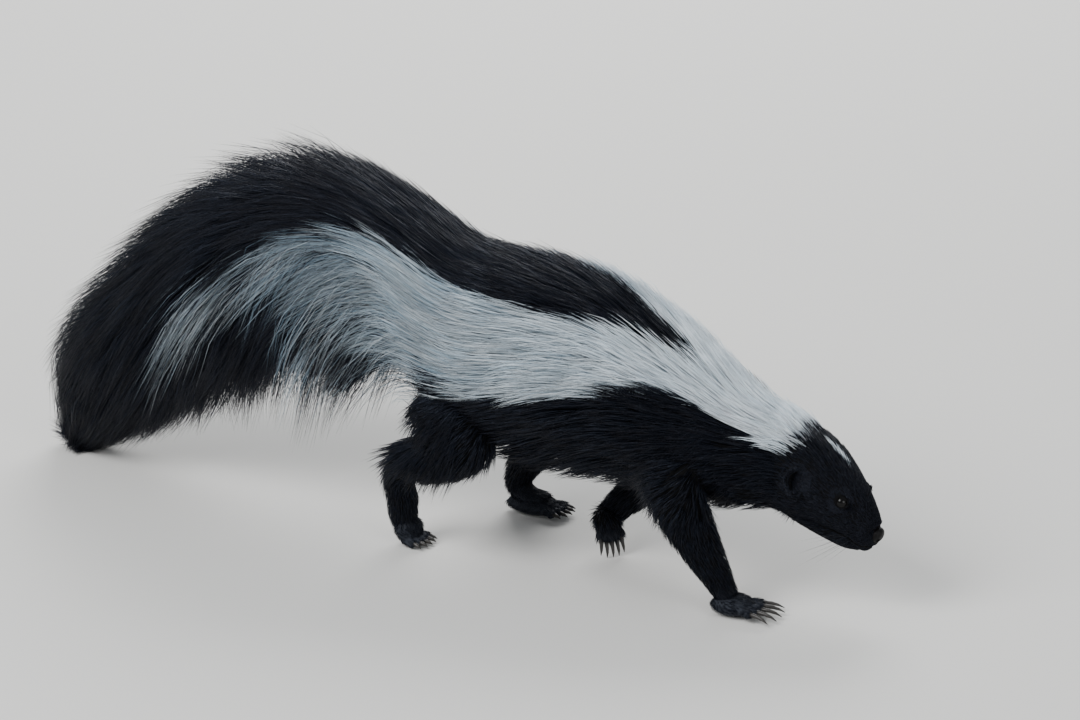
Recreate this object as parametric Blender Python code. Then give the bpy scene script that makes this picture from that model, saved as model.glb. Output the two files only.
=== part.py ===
"""A striped skunk at life size, as a still model: walking, nose to the ground, tail arched.

Metres. +X is forward, +Y the animal's left side, +Z up, and it stands on the plane z = 0.
Every form is a loft of rings, a ball or a claw. What belongs to one node is joined by a
Boolean union, and neighbouring nodes are parted by cuts that leave GAP between them.
"""

import math
from collections import namedtuple

import bmesh
import bpy
import numpy as np
from mathutils import Matrix, Vector

CM = 0.01
GAP = 0.0003
SWELL = 0.0004
FAR = 1.0

# One ring of a loft, in centimetres: its centre, then how far it reaches to each side,
# to its upper or front side, and to its lower or rear side.
Ring = namedtuple("Ring", "x y z side upper lower")

# The body in its coat, from the rump to the nape
TRUNK = (
    Ring(-12.9, 0, 14.8, 2.4, 2.6, 2.6),
    Ring(-11.9, 0, 14.0, 4.6, 4.4, 4.8),
    Ring(-10.0, 0, 13.3, 5.9, 5.9, 5.9),
    Ring(-7.0, 0, 12.7, 6.6, 6.8, 6.7),
    Ring(-3.0, 0, 12.2, 6.6, 7.0, 6.8),
    Ring(1.0, 0, 11.8, 6.2, 6.6, 6.4),
    Ring(4.5, 0, 11.0, 5.7, 5.6, 5.8),
    Ring(7.5, 0, 10.2, 5.0, 4.5, 5.1),
    Ring(10.0, 0, 9.6, 4.3, 3.5, 4.2),
    Ring(12.3, 0, 9.0, 3.5, 3.0, 3.4),
    Ring(13.8, 0, 8.4, 2.9, 2.5, 2.9),
)
# The skull and the upper jaw, from inside the neck to the tip of the muzzle
HEAD = (
    Ring(10.6, 0, 9.9, 2.2, 2.0, 2.4),
    Ring(12.3, 0, 9.5, 3.0, 2.7, 3.1),
    Ring(13.8, 0, 8.8, 3.2, 2.6, 3.3),
    Ring(15.2, 0, 7.95, 2.85, 2.45, 2.8),
    Ring(16.4, 0, 7.0, 2.2, 2.15, 2.1),
    Ring(17.4, 0, 6.15, 1.6, 1.7, 1.45),
    Ring(18.1, 0, 5.55, 1.2, 1.3, 1.1),
    Ring(18.5, 0, 5.25, 0.9, 0.95, 0.8),
)
JAW = (
    Ring(13.2, 0, 7.3, 2.0, 1.4, 1.5),
    Ring(14.7, 0, 6.4, 1.9, 1.3, 1.45),
    Ring(16.1, 0, 5.6, 1.45, 1.0, 1.25),
    Ring(17.3, 0, 4.95, 1.0, 0.8, 1.0),
    Ring(18.1, 0, 4.6, 0.62, 0.5, 0.6),
)
# The tail out to the tips of its hair, from the rump to its end on the ground. The hair
# hangs, so each ring's plane has a lean of its own, in degrees from the vertical.
TAIL = (
    Ring(-9.6, 0, 15.0, 3.4, 3.4, 6.0),
    Ring(-14.2, 0, 17.4, 4.4, 3.6, 10.4),
    Ring(-18.2, 0, 18.6, 5.4, 4.4, 12.8),
    Ring(-22.0, 0, 18.3, 6.2, 5.4, 12.0),
    Ring(-25.8, 0, 16.7, 6.5, 5.6, 10.6),
    Ring(-29.8, 0, 13.6, 6.2, 5.3, 9.2),
    Ring(-33.4, 0, 9.6, 5.4, 5.1, 7.0),
    Ring(-36.2, 0, 5.7, 4.2, 5.1, 4.8),
    Ring(-37.9, 0, 3.0, 2.8, 4.0, 3.0),
    Ring(-38.8, 0, 1.5, 1.5, 2.4, 1.6),
    Ring(-39.3, 0, 0.3, 0.8, 1.2, 0.9),
)
TAIL_LEAN = (16, 8, 0, -7, -14, -23, -34, -44, -50, -54, -58)
# The long coat's locks, in centimetres and degrees: where on the form's line their first and
# last row stands, the rows' distance, a lock's length, width and thickness, how deep its root
# and its tip lie (1 is the outside), the widest angle from the top, and how far it hangs down
Coat = namedtuple("Coat", "first last row length width thick root tip arc droop")
TAIL_COAT = Coat(-1.6, 28.5, 5.0, 11.5, 6.0, 1.0, 0.34, 1.03, 180, 12)
BACK_COAT = Coat(9.5, 19.5, 3.3, 6.4, 4.2, 0.7, 0.8, 1.0, 74, 8)
# How full the solid core below the locks is: places along X, then its share of the coat's
# reach there to the sides, above and below
TAIL_CORE = (
    (-40, -20, -17, -12),
    (0.42, 0.42, 0.5, 0.9),
    (0.42, 0.42, 0.6, 1.0),
    (0.42, 0.42, 0.5, 0.8),
)
BACK_CORE = ((-11.5, -8.5, 3.5, 7.0), (1.0, 0.93, 0.93, 1.0), (1.0, 0.9, 0.9, 1.0), (1, 1, 1, 1))
# A lock's outline from root to tip: share of its length, then of its width and thickness
LOCK_SHAPE = ((0.0, 0.7, 1.0), (0.3, 1.0, 1.0), (0.6, 0.85, 0.75), (0.84, 0.45, 0.45))
# The widest a lock may wrap round the form to each side, in degrees
LOCK_TURN = 50
# How much one lock differs from the next in length, width and place
UNEVEN = 0.15
SEED = 7
# The cut between two parts of the tail: how far out it ends up, as a share of the coat's
# reach, and how far it runs on past the tip, in centimetres
SLEEVE_WIDEST = 1.5
SLEEVE_END = 3.0

# Each limb as its bones' lofts, from the body down
LIMBS = {
    "hindleg_right": (
        (
            Ring(-8.9, -1.0, 13.0, 2.6, 3.4, 3.2),
            Ring(-8.4, -3.7, 10.0, 2.9, 3.7, 3.4),
            Ring(-7.4, -4.6, 7.6, 2.3, 2.6, 2.6),
        ),
        (Ring(-7.4, -4.6, 7.6, 2.2, 2.3, 2.5), Ring(-12.4, -4.3, 5.2, 1.2, 1.3, 1.3)),
        (Ring(-12.4, -4.3, 5.2, 1.15, 1.3, 1.3), Ring(-12.2, -4.0, 1.2, 0.9, 0.9, 1.0)),
    ),
    "hindleg_left": (
        (
            Ring(-8.5, 1.0, 13.0, 2.6, 3.4, 3.2),
            Ring(-7.4, 3.7, 10.0, 2.9, 3.5, 3.3),
            Ring(-6.0, 4.6, 7.8, 2.3, 2.4, 2.5),
        ),
        (Ring(-6.0, 4.6, 7.8, 2.2, 2.3, 2.4), Ring(-9.0, 4.3, 1.9, 0.95, 1.0, 1.0)),
        (Ring(-9.0, 4.3, 1.5, 0.85, 0.9, 0.9), Ring(-6.8, 4.4, 0.9, 0.9, 0.7, 0.8)),
    ),
    "foreleg_right": (
        (
            Ring(5.8, -0.8, 11.2, 2.2, 2.6, 2.6),
            Ring(6.8, -3.6, 8.6, 2.2, 2.6, 2.7),
            Ring(8.2, -4.5, 5.8, 1.7, 1.8, 1.9),
            Ring(10.6, -4.3, 1.5, 0.9, 0.9, 1.0),
        ),
    ),
    "foreleg_left": (
        (
            Ring(5.6, 0.8, 11.2, 2.2, 2.6, 2.6),
            Ring(4.2, 3.6, 8.2, 2.2, 2.6, 2.6),
            Ring(2.6, 3.3, 5.6, 1.7, 1.8, 1.8),
            Ring(-0.7, 1.2, 2.1, 0.8, 0.8, 0.9),
        ),
    ),
}
# How far the cut round the top of a leg lies out from it, and how much wider than it
SOCKET_OUT = 1.5
SOCKET_SPARE = 0.6
LIMB_STEPS = 6
LIMB_SIDES = 14

# A paw in centimetres and degrees: its knuckles, which way it points, the half sizes of
# its palm, how steeply palm and toes point down, the lengths of toes and claws, how far
# the toes fan out, and the plane at the ankle that parts it from the leg
Paw = namedtuple("Paw", "knuckles heading palm palm_pitch toe_pitch toe claw fan ankle ankle_line")
PAWS = {
    "hindpaw_right": Paw(
        (-11.7, -4.0, 0.35), 0, (0.95, 1.0, 0.75), 65, 0, 0.8, 0.7, 7, (-12.2, -4.0, 1.5), (0.3, 0, -1)
    ),
    "hindpaw_left": Paw(
        (-6.6, 4.4, 0.5), 3, (1.9, 1.0, 0.6), 0, 0, 0.95, 0.7, 7, (-8.6, 4.3, 1.9), (0.5, 0, -0.86)
    ),
    "forepaw_right": Paw(
        (12.05, -4.1, 0.5), 8, (1.35, 1.15, 0.62), 0, 0, 1.0, 1.45, 9, (10.5, -4.3, 1.7), (0.15, 0, -1)
    ),
    "forepaw_left": Paw(
        (-0.1, 0.6, 1.3), -35, (0.9, 0.85, 0.55), 60, 60, 0.75, 1.1, 4, (-0.5, 1.0, 1.9), (0.4, -0.3, -0.87)
    ),
}
TOE = 0.32
TOE_REACH = (0.7, 0.95, 1.0, 0.95, 0.75)
CLAW = (0.15, 0.14, 0.1, 0.03)

# The head, in centimetres, for its right side: the left one is its mirror image
MUZZLE = (0.79, 0, -0.61)
EYE = (17.25, -1.45, 7.55)
EYE_RADIUS = 0.4
EYE_OUT = (0.4, -0.85, 0.35)
LID = (0.44, 0.62, 0.54)
LID_OPENING = (0.3, 0.4, 0.27)
LID_SLANT = (0.4, 0, 1)
NOSE = (19.0, 0, 4.95)
NOSE_SIZE = (0.5, 0.66, 0.56)
NOSTRIL = (0.4, -0.27, 0.05)
NOSTRIL_SIZE = (0.18, 0.12, 0.15)
WHISKER_PAD = (17.95, -0.58, 5.25)
WHISKER_PAD_SIZE = (0.85, 0.6, 0.6)
MOUTH = (15.9, 0, 5.85)
MOUTH_LINE = (0.9, 0, -0.44)
MOUTH_GAP = 0.09
MOUTH_REACH = 4.5
MOUTH_INNER = ((0.0, 1.65), (1.1, 1.1), (2.2, 0.68), (2.8, 0.35))
LIP = 0.18
LIP_OFFSET = 0.13
LIP_PATH = ((0.0, 1.62), (0.7, 1.4), (1.4, 1.08), (2.2, 0.77), (2.8, 0.45))
EAR = (14.8, -2.75, 8.8)
EAR_OPEN = (0.6, -0.7, 0.2)
EAR_UP = (-0.2, 0, 1)
EAR_SIZE = (0.55, 1.05, 1.2)
CUP = (0.35, 0, 0.1)
CUP_SIZE = (0.6, 0.8, 0.95)

# Where the white stripe begins and ends round the body: places along X, then the angle
# from the top in degrees
STRIPE_TOP = (
    (-32, -28, -23, -19, -15, -11, -4, 0.6, 3, 6, 7.5),
    (104, 90, 85, 70, 48, 38, 33, 22, 13, 4, -5),
)
STRIPE_FOOT = (
    (-32, -26, -21, -17, -14, -9, -2, 2, 5, 9, 12.3, 13.9, 14.9),
    (124, 112, 109, 116, 125, 108, 86, 67, 49, 46, 60, 40, 0),
)
TAIL_WHITE_END = -32
# The thin white line down the forehead: its two ends along X and its half width
BROW = (15.4, 17.0, 0.4)

# The planes that part the animal along its length: a point in centimetres, and the
# direction that leads on from there
SHOULDER_CUT = ((7.8, 0, 10.2), (0.94, 0, -0.3))
NAPE_CUT = ((13.2, 0, 9.3), (0.8, 0, -0.6))
TAIL_CUT_ROWS = (2.5, 4.5)

BLACK_FUR = ("Black fur", (0.012, 0.012, 0.014), 0.55)
WHITE_FUR = ("White fur", (0.75, 0.76, 0.78), 0.6)
NOSE_SKIN = ("Nose skin", (0.02, 0.018, 0.018), 0.35)
EYE_BLACK = ("Eye", (0.004, 0.003, 0.003), 0.05)
PAW_SKIN = ("Paw fur and claws", (0.025, 0.024, 0.026), 0.5)


def clear_scene():
    for obj in list(bpy.data.objects):
        bpy.data.objects.remove(obj)


def object_of(name, bm):
    """A new object that holds the bmesh, its faces turned outwards.

    Its faces become triangles at once, so that a swollen copy bends in the same places.
    """
    bmesh.ops.triangulate(bm, faces=bm.faces)
    bm.normal_update()
    bmesh.ops.recalc_face_normals(bm, faces=bm.faces)
    if bm.calc_volume(signed=True) < 0:
        bmesh.ops.reverse_faces(bm, faces=bm.faces)
    mesh = bpy.data.meshes.new(name)
    bm.to_mesh(mesh)
    bm.free()
    obj = bpy.data.objects.new(name, mesh)
    bpy.context.scene.collection.objects.link(obj)
    return obj


def spline(rows, count):
    """Rows of numbers along a Catmull-Rom curve through the given rows, at even steps."""
    rows = np.array(rows, float)
    padded = np.vstack([2 * rows[0] - rows[1], rows, 2 * rows[-1] - rows[-2]])
    out = []
    for step in np.linspace(0, len(rows) - 1, count):
        i = min(int(step), len(rows) - 2)
        t = step - i
        a, b, c, d = padded[i : i + 4]
        straight = 2 * b + (c - a) * t
        bend = (2 * a - 5 * b + 4 * c - d) * t**2 + (3 * b - 3 * c + d - a) * t**3
        out.append(0.5 * (straight + bend))
    return np.array(out)


def leaning(rows, leans):
    """As framed, for rings that stand across the middle plane at the given leans."""
    out = []
    for row, lean in zip(rows, spline([[lean] for lean in leans], len(rows))[:, 0]):
        lean = math.radians(lean)
        upper = np.array([math.sin(lean), 0.0, math.cos(lean)])
        side = np.array([0.0, 1.0, 0.0])
        out.append([row[:3], np.cross(upper, side), side, upper, row[3:]])
    return out


def framed(rows, up):
    """Each row's centre, direction of the path, side direction, upper direction and sizes."""
    centres = rows[:, :3]
    along = np.gradient(centres, axis=0)
    along /= np.linalg.norm(along, axis=1)[:, None]
    side = np.array([0.0, 1.0, 0.0]) - along * along[:, 1:2]
    side /= np.linalg.norm(side, axis=1)[:, None]
    upper = np.cross(along, side)
    upper *= np.sign(upper @ np.array(up, float))[:, None]
    return [list(row) for row in zip(centres, along, side, upper, rows[:, 3:])]


def core_rings(rings, fullness):
    """The rings of the solid core that the locks grow from."""
    places, *shares = fullness
    out = []
    for ring in rings:
        side, upper, lower = [float(np.interp(ring.x, places, share)) for share in shares]
        out.append(Ring(*ring[:3], ring.side * side, ring.upper * upper, ring.lower * lower))
    return out


def coat_spot(frames, at, angle, depth):
    """A place in the coat: steps along the frames, angle from the top, share of the depth."""
    i = min(max(int(at), 0), len(frames) - 2)
    t = at - i
    centre, _, side, upper, size = [(1 - t) * a + t * b for a, b in zip(frames[i], frames[i + 1])]
    high = size[1] if math.cos(angle) > 0 else size[2]
    return centre + depth * (side * math.sin(angle) * size[0] + upper * math.cos(angle) * high)


def rise(coat, t, tip):
    """The depth in the coat of a lock at a share of its length, from its root to its tip."""
    return tip - (tip - coat.root) * (1 - t) ** 2


def lock(frames, coat, at, angle, step, luck):
    """One flat tapered lock: it rises from its root, leans along the coat and hangs a little."""
    longer, wider, higher = luck
    length = coat.length * (1 + UNEVEN * longer) / step
    length = min(length, len(frames) + 1 - at)
    tip = coat.tip - 0.06 * abs(higher)
    hang = math.radians(coat.droop) * (1 + higher) * math.sin(angle)
    bm = bmesh.new()
    loops = []
    for t, width, thick in LOCK_SHAPE:
        turn = angle + hang * t
        depth = rise(coat, t, tip)
        middle = coat_spot(frames, at + length * t, turn, 0)
        reach = np.linalg.norm(coat_spot(frames, at + length * t, turn, 1) - middle) / CM
        half = coat.width * (1 + UNEVEN * wider) * width / 2
        spread = min(half / (reach * depth), math.radians(LOCK_TURN))
        swell = coat.thick * thick / 2 / reach
        corners = ((spread, 0), (0, swell), (-spread, 0), (0, -swell))
        spots = [coat_spot(frames, at + length * t, turn + a, depth + d) for a, d in corners]
        loops.append([bm.verts.new(spot) for spot in spots])
    for near, far in zip(loops, loops[1:]):
        for j in range(4):
            bm.faces.new((near[j - 1], near[j], far[j], far[j - 1]))
    end = bm.verts.new(coat_spot(frames, at + length, angle + hang, tip))
    for j in range(4):
        bm.faces.new((loops[-1][j - 1], loops[-1][j], end))
    bm.faces.new(loops[0])
    return object_of("lock", bm)


def locks(frames, coat, steps_forward=True):
    """Rows of locks round a form, each row half a lock on from the last, none quite alike."""
    draw = np.random.default_rng(SEED)
    step = line_step(frames)
    made = []
    limit = math.radians(coat.arc)
    angles = np.linspace(-limit, limit, 91)
    for number, along in enumerate(np.arange(coat.first, coat.last + 0.01, coat.row)):
        fullest = (along + coat.length / 2 * (1 if steps_forward else -1)) / step
        rim = np.array([coat_spot(frames, fullest, angle, 1) for angle in angles]) / CM
        arcs = np.append(0, np.cumsum(np.linalg.norm(np.diff(rim, axis=0), axis=1)))
        count = max(3, round(arcs[-1] / coat.width))
        for k in range(count):
            place = (k + 0.25 + 0.5 * (number % 2)) / count * arcs[-1]
            angle = np.interp(place, arcs, angles)
            luck = draw.uniform(-1, 1, 3)
            at = (along + UNEVEN * coat.row * draw.uniform(-1, 1)) / step
            made.append(lock(frames, coat, at, angle, step if steps_forward else -step, luck))
    return made


def line_step(frames):
    """The mean distance in centimetres between the centres of neighbouring frames."""
    centres = np.array([frame[0] for frame in frames]) / CM
    return np.linalg.norm(np.diff(centres, axis=0), axis=1).mean()


def sleeve(frames, coat, along):
    """All that lies below the locks rooted at a place on the form's line, to the form's end.

    It widens as a lock rises, so that a cut along it passes between two rows of locks.
    """
    step = line_step(frames)
    inside = []
    for i in range(math.ceil(along / step), len(frames)):
        centre, forward, side, upper, size = frames[i]
        t = (i * step - along) / coat.length
        depth = rise(coat, t, coat.tip) if t < 1 else SLEEVE_WIDEST
        inside.append([centre, forward, side, upper, size * depth])
    centre, forward, side, upper, size = inside[-1]
    inside.append([centre + forward * SLEEVE_END * CM, forward, side, upper, size])
    return tube("sleeve", inside, 18)


def round_off(rings, angles):
    """Adds smaller rings past each end, at the given angles, so that it ends in a dome."""
    for end, sign in ((0, -1), (-1, 1)):
        centre, along, side, upper, size = rings[end]
        reach = size.mean()
        dome = []
        for angle in [math.radians(degrees) for degrees in angles]:
            moved = centre + sign * along * reach * math.sin(angle)
            dome.append([moved, along, side, upper, size * math.cos(angle)])
        rings = rings + dome if end else dome[::-1] + rings
    return rings


def loft(name, rings, steps, sides, up=(0, 0, 1), domes=(35, 68), leans=None):
    """A closed form through the rings, smooth along its length, with domed ends."""
    rows = spline(np.array(rings) * CM, steps)
    frames = leaning(rows, leans) if leans else framed(rows, up)
    return tube(name, round_off(frames, domes), sides)


def tube(name, frames, sides):
    """A closed form with an oval round each frame's centre and a flat cap at each end."""
    bm = bmesh.new()
    loops = []
    for centre, _, side, upper, size in frames:
        loop = []
        for j in range(sides):
            angle = 2 * math.pi * j / sides
            high = size[1] if math.sin(angle) > 0 else size[2]
            spot = centre + side * math.cos(angle) * size[0] + upper * math.sin(angle) * high
            loop.append(bm.verts.new(spot))
        loops.append(loop)
    for near, far in zip(loops, loops[1:]):
        for j in range(sides):
            k = (j + 1) % sides
            bm.faces.new((near[j], near[k], far[k], far[j]))
    bm.faces.new(loops[0])
    bm.faces.new(loops[-1])
    return object_of(name, bm)


def ball(name, centre, sizes, turn=None, detail=2):
    """An ellipsoid at a place in centimetres, turned by a rotation matrix."""
    bm = bmesh.new()
    bmesh.ops.create_icosphere(bm, subdivisions=detail, radius=1.0)
    shape = Matrix.Diagonal((*(s * CM for s in sizes), 1.0))
    place = Matrix.Translation(Vector(centre) * CM)
    bm.transform(place @ (turn or Matrix()).to_4x4() @ shape)
    return object_of(name, bm)


def apply_modifiers(obj):
    graph = bpy.context.evaluated_depsgraph_get()
    mesh = bpy.data.meshes.new_from_object(obj.evaluated_get(graph))
    obj.modifiers.clear()
    obj.data = mesh


def keep_largest(obj):
    """Leaves only the largest closed surface of the object."""
    bm = bmesh.new()
    bm.from_mesh(obj.data)
    left = set(bm.faces)
    shells = []
    while left:
        queue = [left.pop()]
        shell = []
        while queue:
            face = queue.pop()
            shell.append(face)
            for edge in face.edges:
                for other in edge.link_faces:
                    if other in left:
                        left.remove(other)
                        queue.append(other)
        shells.append(shell)
    shells.sort(key=lambda shell: sum(face.calc_area() for face in shell))
    spare = [face for shell in shells[:-1] for face in shell]
    bmesh.ops.delete(bm, geom=spare, context="FACES")
    bm.to_mesh(obj.data)
    bm.free()
    return obj


def boolean(obj, operation, others):
    """Unites the object with the others or cuts them out of it, and removes them.

    The manifold solver is used because all these forms are closed and cross each other
    often: the exact one is slow on them and leaves open edges round the eyes and mouth.
    """
    group = bpy.data.collections.new(obj.name + "_tools")
    for other in others:
        group.objects.link(other)
    modifier = obj.modifiers.new("join", "BOOLEAN")
    modifier.operation = operation
    modifier.operand_type = "COLLECTION"
    modifier.collection = group
    modifier.solver = "MANIFOLD"
    bpy.context.scene.collection.children.link(group)
    bpy.context.view_layer.update()
    apply_modifiers(obj)
    for other in others:
        bpy.data.objects.remove(other)
    bpy.data.collections.remove(group)
    return keep_largest(obj)


def swollen(obj, by=SWELL):
    """A copy of the object that is larger all round, to cut a neighbour clear of it."""
    copy = bpy.data.objects.new(obj.name + "_swollen", obj.data.copy())
    bpy.context.scene.collection.objects.link(copy)
    normals = [vertex.normal.copy() for vertex in copy.data.vertices]
    for vertex, normal in zip(copy.data.vertices, normals):
        vertex.co += normal * by
    return copy


def cut_clear(obj, neighbours):
    """Cuts the object clear of each neighbour in turn."""
    for neighbour in neighbours:
        boolean(obj, "DIFFERENCE", [swollen(neighbour)])
    return obj


def half_space(point, normal):
    """A block so large that it fills everything ahead of the plane."""
    bm = bmesh.new()
    bmesh.ops.create_cube(bm, size=FAR)
    turn = Vector(normal).to_track_quat("Z", "Y").to_matrix().to_4x4()
    bm.transform(Matrix.Translation(point) @ turn @ Matrix.Translation((0, 0, FAR / 2)))
    return object_of("half_space", bm)


def parted(obj, point, normal, far_name):
    """Cuts the object in two with GAP between, and returns the near and the far part."""
    point = Vector(point) * CM
    half = Vector(normal).normalized() * GAP / 2
    far = bpy.data.objects.new(far_name, obj.data.copy())
    bpy.context.scene.collection.objects.link(far)
    boolean(far, "DIFFERENCE", [half_space(point + half, -Vector(normal))])
    boolean(obj, "DIFFERENCE", [half_space(point - half, normal)])
    return obj, far


def parted_by(obj, cutter, far_name):
    """Cuts the object in two along a closed cutter: what is outside it and what is inside."""
    far = bpy.data.objects.new(far_name, obj.data.copy())
    bpy.context.scene.collection.objects.link(far)
    boolean(obj, "DIFFERENCE", [swollen(cutter)])
    boolean(far, "INTERSECT", [cutter])
    return obj, far


def stood_on_floor(obj):
    """Trims what would reach below the floor, which leaves a small flat sole."""
    return boolean(obj, "DIFFERENCE", [half_space((0, 0, 0), (0, 0, -1))])


def facing(forward, up=(0, 0, 1)):
    """A turn that brings local X to the forward direction and local Z near the upward one."""
    x = Vector(forward).normalized()
    y = Vector(up).cross(x).normalized()
    return Matrix((x, y, x.cross(y))).transposed()


def slab(name, outline, origin, turn, thickness):
    """A flat plate: an outline in the turned X and Y, with its plane half way through it."""
    bm = bmesh.new()
    half = thickness / 2
    low = [bm.verts.new((x * CM, y * CM, -half * CM)) for x, y in outline]
    high = [bm.verts.new((x * CM, y * CM, half * CM)) for x, y in outline]
    bm.faces.new(low)
    bm.faces.new(high)
    for i in range(len(outline)):
        bm.faces.new((low[i - 1], low[i], high[i], high[i - 1]))
    bm.transform(Matrix.Translation(Vector(origin) * CM) @ turn.to_4x4())
    return object_of(name, bm)


def on_side(point, sign):
    """A place given for the right side, or with sign -1 its mirror image on the left."""
    x, y, z = point
    return Vector((x, sign * y, z))


def eye_line(sign):
    """The direction that an eye looks in."""
    return on_side(EYE_OUT, sign).normalized()


def whole_body():
    """Trunk, skull and jaw joined, with whisker pads, lips, mouth line and eye sockets."""
    body = loft("torso", core_rings(TRUNK, BACK_CORE), 18, 20)
    forms = [loft("skull", HEAD, 16, 20), loft("jaw", JAW, 8, 14)]
    for sign in (1, -1):
        forms.append(ball("pad", on_side(WHISKER_PAD, sign), WHISKER_PAD_SIZE, facing(MUZZLE)))
        forms.append(ball("lid", on_side(EYE, sign), LID, facing(eye_line(sign), LID_SLANT)))
        for side in (1, -1):
            rings = [lip_ring(along, across * sign, side) for along, across in LIP_PATH]
            forms.append(loft("lip", rings, 6, 6, domes=(50,)))
    boolean(body, "UNION", forms)
    cutters = [slab("mouth", mouth_outline(), MOUTH, facing(MOUTH_LINE), MOUTH_GAP)]
    for sign in (1, -1):
        outward = eye_line(sign)
        centre = on_side(EYE, sign)
        cutters.append(ball("socket", centre, [EYE_RADIUS + GAP / CM] * 3))
        opening = centre + outward * EYE_RADIUS
        cutters.append(ball("opening", opening, LID_OPENING, facing(outward, LID_SLANT)))
    return boolean(body, "DIFFERENCE", cutters)


def mouth_outline():
    """The horseshoe that leaves a groove along both sides of the muzzle and round its front."""
    wide = MOUTH_REACH
    inner = [(along, -across) for along, across in MOUTH_INNER]
    inner += [(along, across) for along, across in reversed(MOUTH_INNER)]
    return [(0, wide), (wide, wide), (wide, -wide), (0, -wide)] + inner


def lip_ring(along, across, side):
    spot = Vector(MOUTH) + facing(MOUTH_LINE) @ Vector((along, across, side * LIP_OFFSET))
    return Ring(spot.x, spot.y, spot.z, LIP, LIP, LIP)


def nose(head):
    """The bare pad at the tip of the muzzle, with its two nostrils, set in the head."""
    turn = facing(MUZZLE)
    pad = ball("nose", NOSE, NOSE_SIZE, turn)
    cut_clear(head, [pad])
    holes = []
    for sign in (1, -1):
        spot = Vector(NOSE) + turn @ on_side(NOSTRIL, sign)
        holes.append(ball("nostril", spot, NOSTRIL_SIZE, turn, 1))
    return boolean(pad, "DIFFERENCE", holes)


def ear(name, sign, body):
    """A low rounded ear: an oval shell hollowed from its front, standing on the head."""
    open_to = on_side(EAR_OPEN, sign)
    turn = facing(open_to, EAR_UP)
    centre = on_side(EAR, sign)
    shell = ball(name, centre, EAR_SIZE, turn)
    hollow = ball("hollow", centre + turn @ Vector(CUP), CUP_SIZE, turn)
    return cut_clear(boolean(shell, "DIFFERENCE", [hollow]), [body])


def paw_forms(paw):
    """Palm, toes and claws of one paw, still apart."""
    level = Matrix.Rotation(math.radians(paw.heading), 3, "Z")
    palm_turn = level @ Matrix.Rotation(math.radians(paw.palm_pitch), 3, "Y")
    toe_turn = level @ Matrix.Rotation(math.radians(paw.toe_pitch), 3, "Y")
    knuckles = Vector(paw.knuckles)
    length, width, height = paw.palm
    middle = knuckles - palm_turn @ Vector((length * 0.55, 0, 0))
    forms = [ball("palm", middle, (length, width, height), palm_turn)]
    for step, reach in zip((-2, -1, 0, 1, 2), TOE_REACH):
        fan = toe_turn @ Matrix.Rotation(math.radians(step * paw.fan), 3, "Z")
        root = knuckles + level @ Vector((0, step * width * 0.34, 0))
        toe = [Vector((-0.3, 0, 0.02)), Vector((paw.toe * reach, 0, -0.1))]
        forms.append(limb_loft("toe", root, fan, toe, (TOE, TOE * 0.85), 3, 7, (50,)))
        tip = root + fan @ toe[1]
        drops = ((-0.2, 0), (0.3, 0.06), (0.7, -0.04), (1.0, -0.28))
        claw = [Vector((part * paw.claw, 0, drop * paw.claw * 0.7)) for part, drop in drops]
        forms.append(limb_loft("claw", tip, fan, claw, CLAW, 5, 6, ()))
    return forms


def limb_loft(name, origin, turn, points, radii, steps, sides, domes):
    """A slim tapered form whose centre line is given in a turned frame of its own."""
    spots = [origin + turn @ point for point in points]
    rings = [Ring(*spot, radius, radius, radius) for spot, radius in zip(spots, radii)]
    return loft(name, rings, steps, sides, domes=domes)


def socket(bone):
    """The closed form round the top of a leg along which leg and body are parted."""
    rings = []
    for ring in bone[1:3]:
        outward = math.copysign(SOCKET_OUT, ring.y)
        sizes = [size + SOCKET_SPARE for size in ring[3:]]
        rings.append(Ring(ring.x, ring.y + outward, ring.z - SOCKET_SPARE, *sizes))
    return loft("socket", rings, 3, 16, (1, 0, 0.01), (35, 62))


def limb(leg_name, paw_name, body):
    """A leg with its paw and its root in the body, on the floor and parted at the ankle."""
    bones = LIMBS[leg_name]
    first, *rest = [loft(leg_name, bone, LIMB_STEPS, LIMB_SIDES, (1, 0, 0.01)) for bone in bones]
    paw = PAWS[paw_name]
    body, root = parted_by(body, socket(bones[0]), "root")
    boolean(first, "UNION", rest + paw_forms(paw) + [root])
    boolean(first, "DIFFERENCE", [swollen(body, GAP)])
    stood_on_floor(first)
    return parted(first, paw.ankle, paw.ankle_line, paw_name)


def in_stripe(point):
    """Whether a place on the coat is white: nape, two stripes, brow line and tail sides."""
    x, y, z = (value / CM for value in point)
    rings = sorted(TAIL if x < TRUNK[0].x else TRUNK)
    centre = np.interp(x, [ring.x for ring in rings], [ring.z for ring in rings])
    if x > BROW[0]:
        return x < BROW[1] and abs(y) < BROW[2] and z > centre
    angle = math.degrees(math.atan2(abs(y), z - centre))
    low, high = np.interp(x, *STRIPE_TOP), np.interp(x, *STRIPE_FOOT)
    return x > TAIL_WHITE_END and low < angle < high


def painted(obj, colours, is_white=None):
    """Gives the object its material, and where asked a second one for its white fur.

    The Booleans leave empty material slots behind, which are cleared first.
    """
    obj.data.materials.clear()
    for colour in colours:
        obj.data.materials.append(material(*colour))
    for face in obj.data.polygons:
        face.use_smooth = True
        face.material_index = 1 if is_white and is_white(face.center) else 0
    obj.data.set_sharp_from_angle(angle=math.radians(40))
    return obj


def material(name, colour, roughness):
    found = bpy.data.materials.get(name)
    if found:
        return found
    new = bpy.data.materials.new(name)
    new.use_nodes = True
    shader = new.node_tree.nodes["Principled BSDF"]
    shader.inputs["Base Color"].default_value = (*colour, 1.0)
    shader.inputs["Roughness"].default_value = roughness
    shader.inputs["Metallic"].default_value = 0.0
    return new


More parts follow.
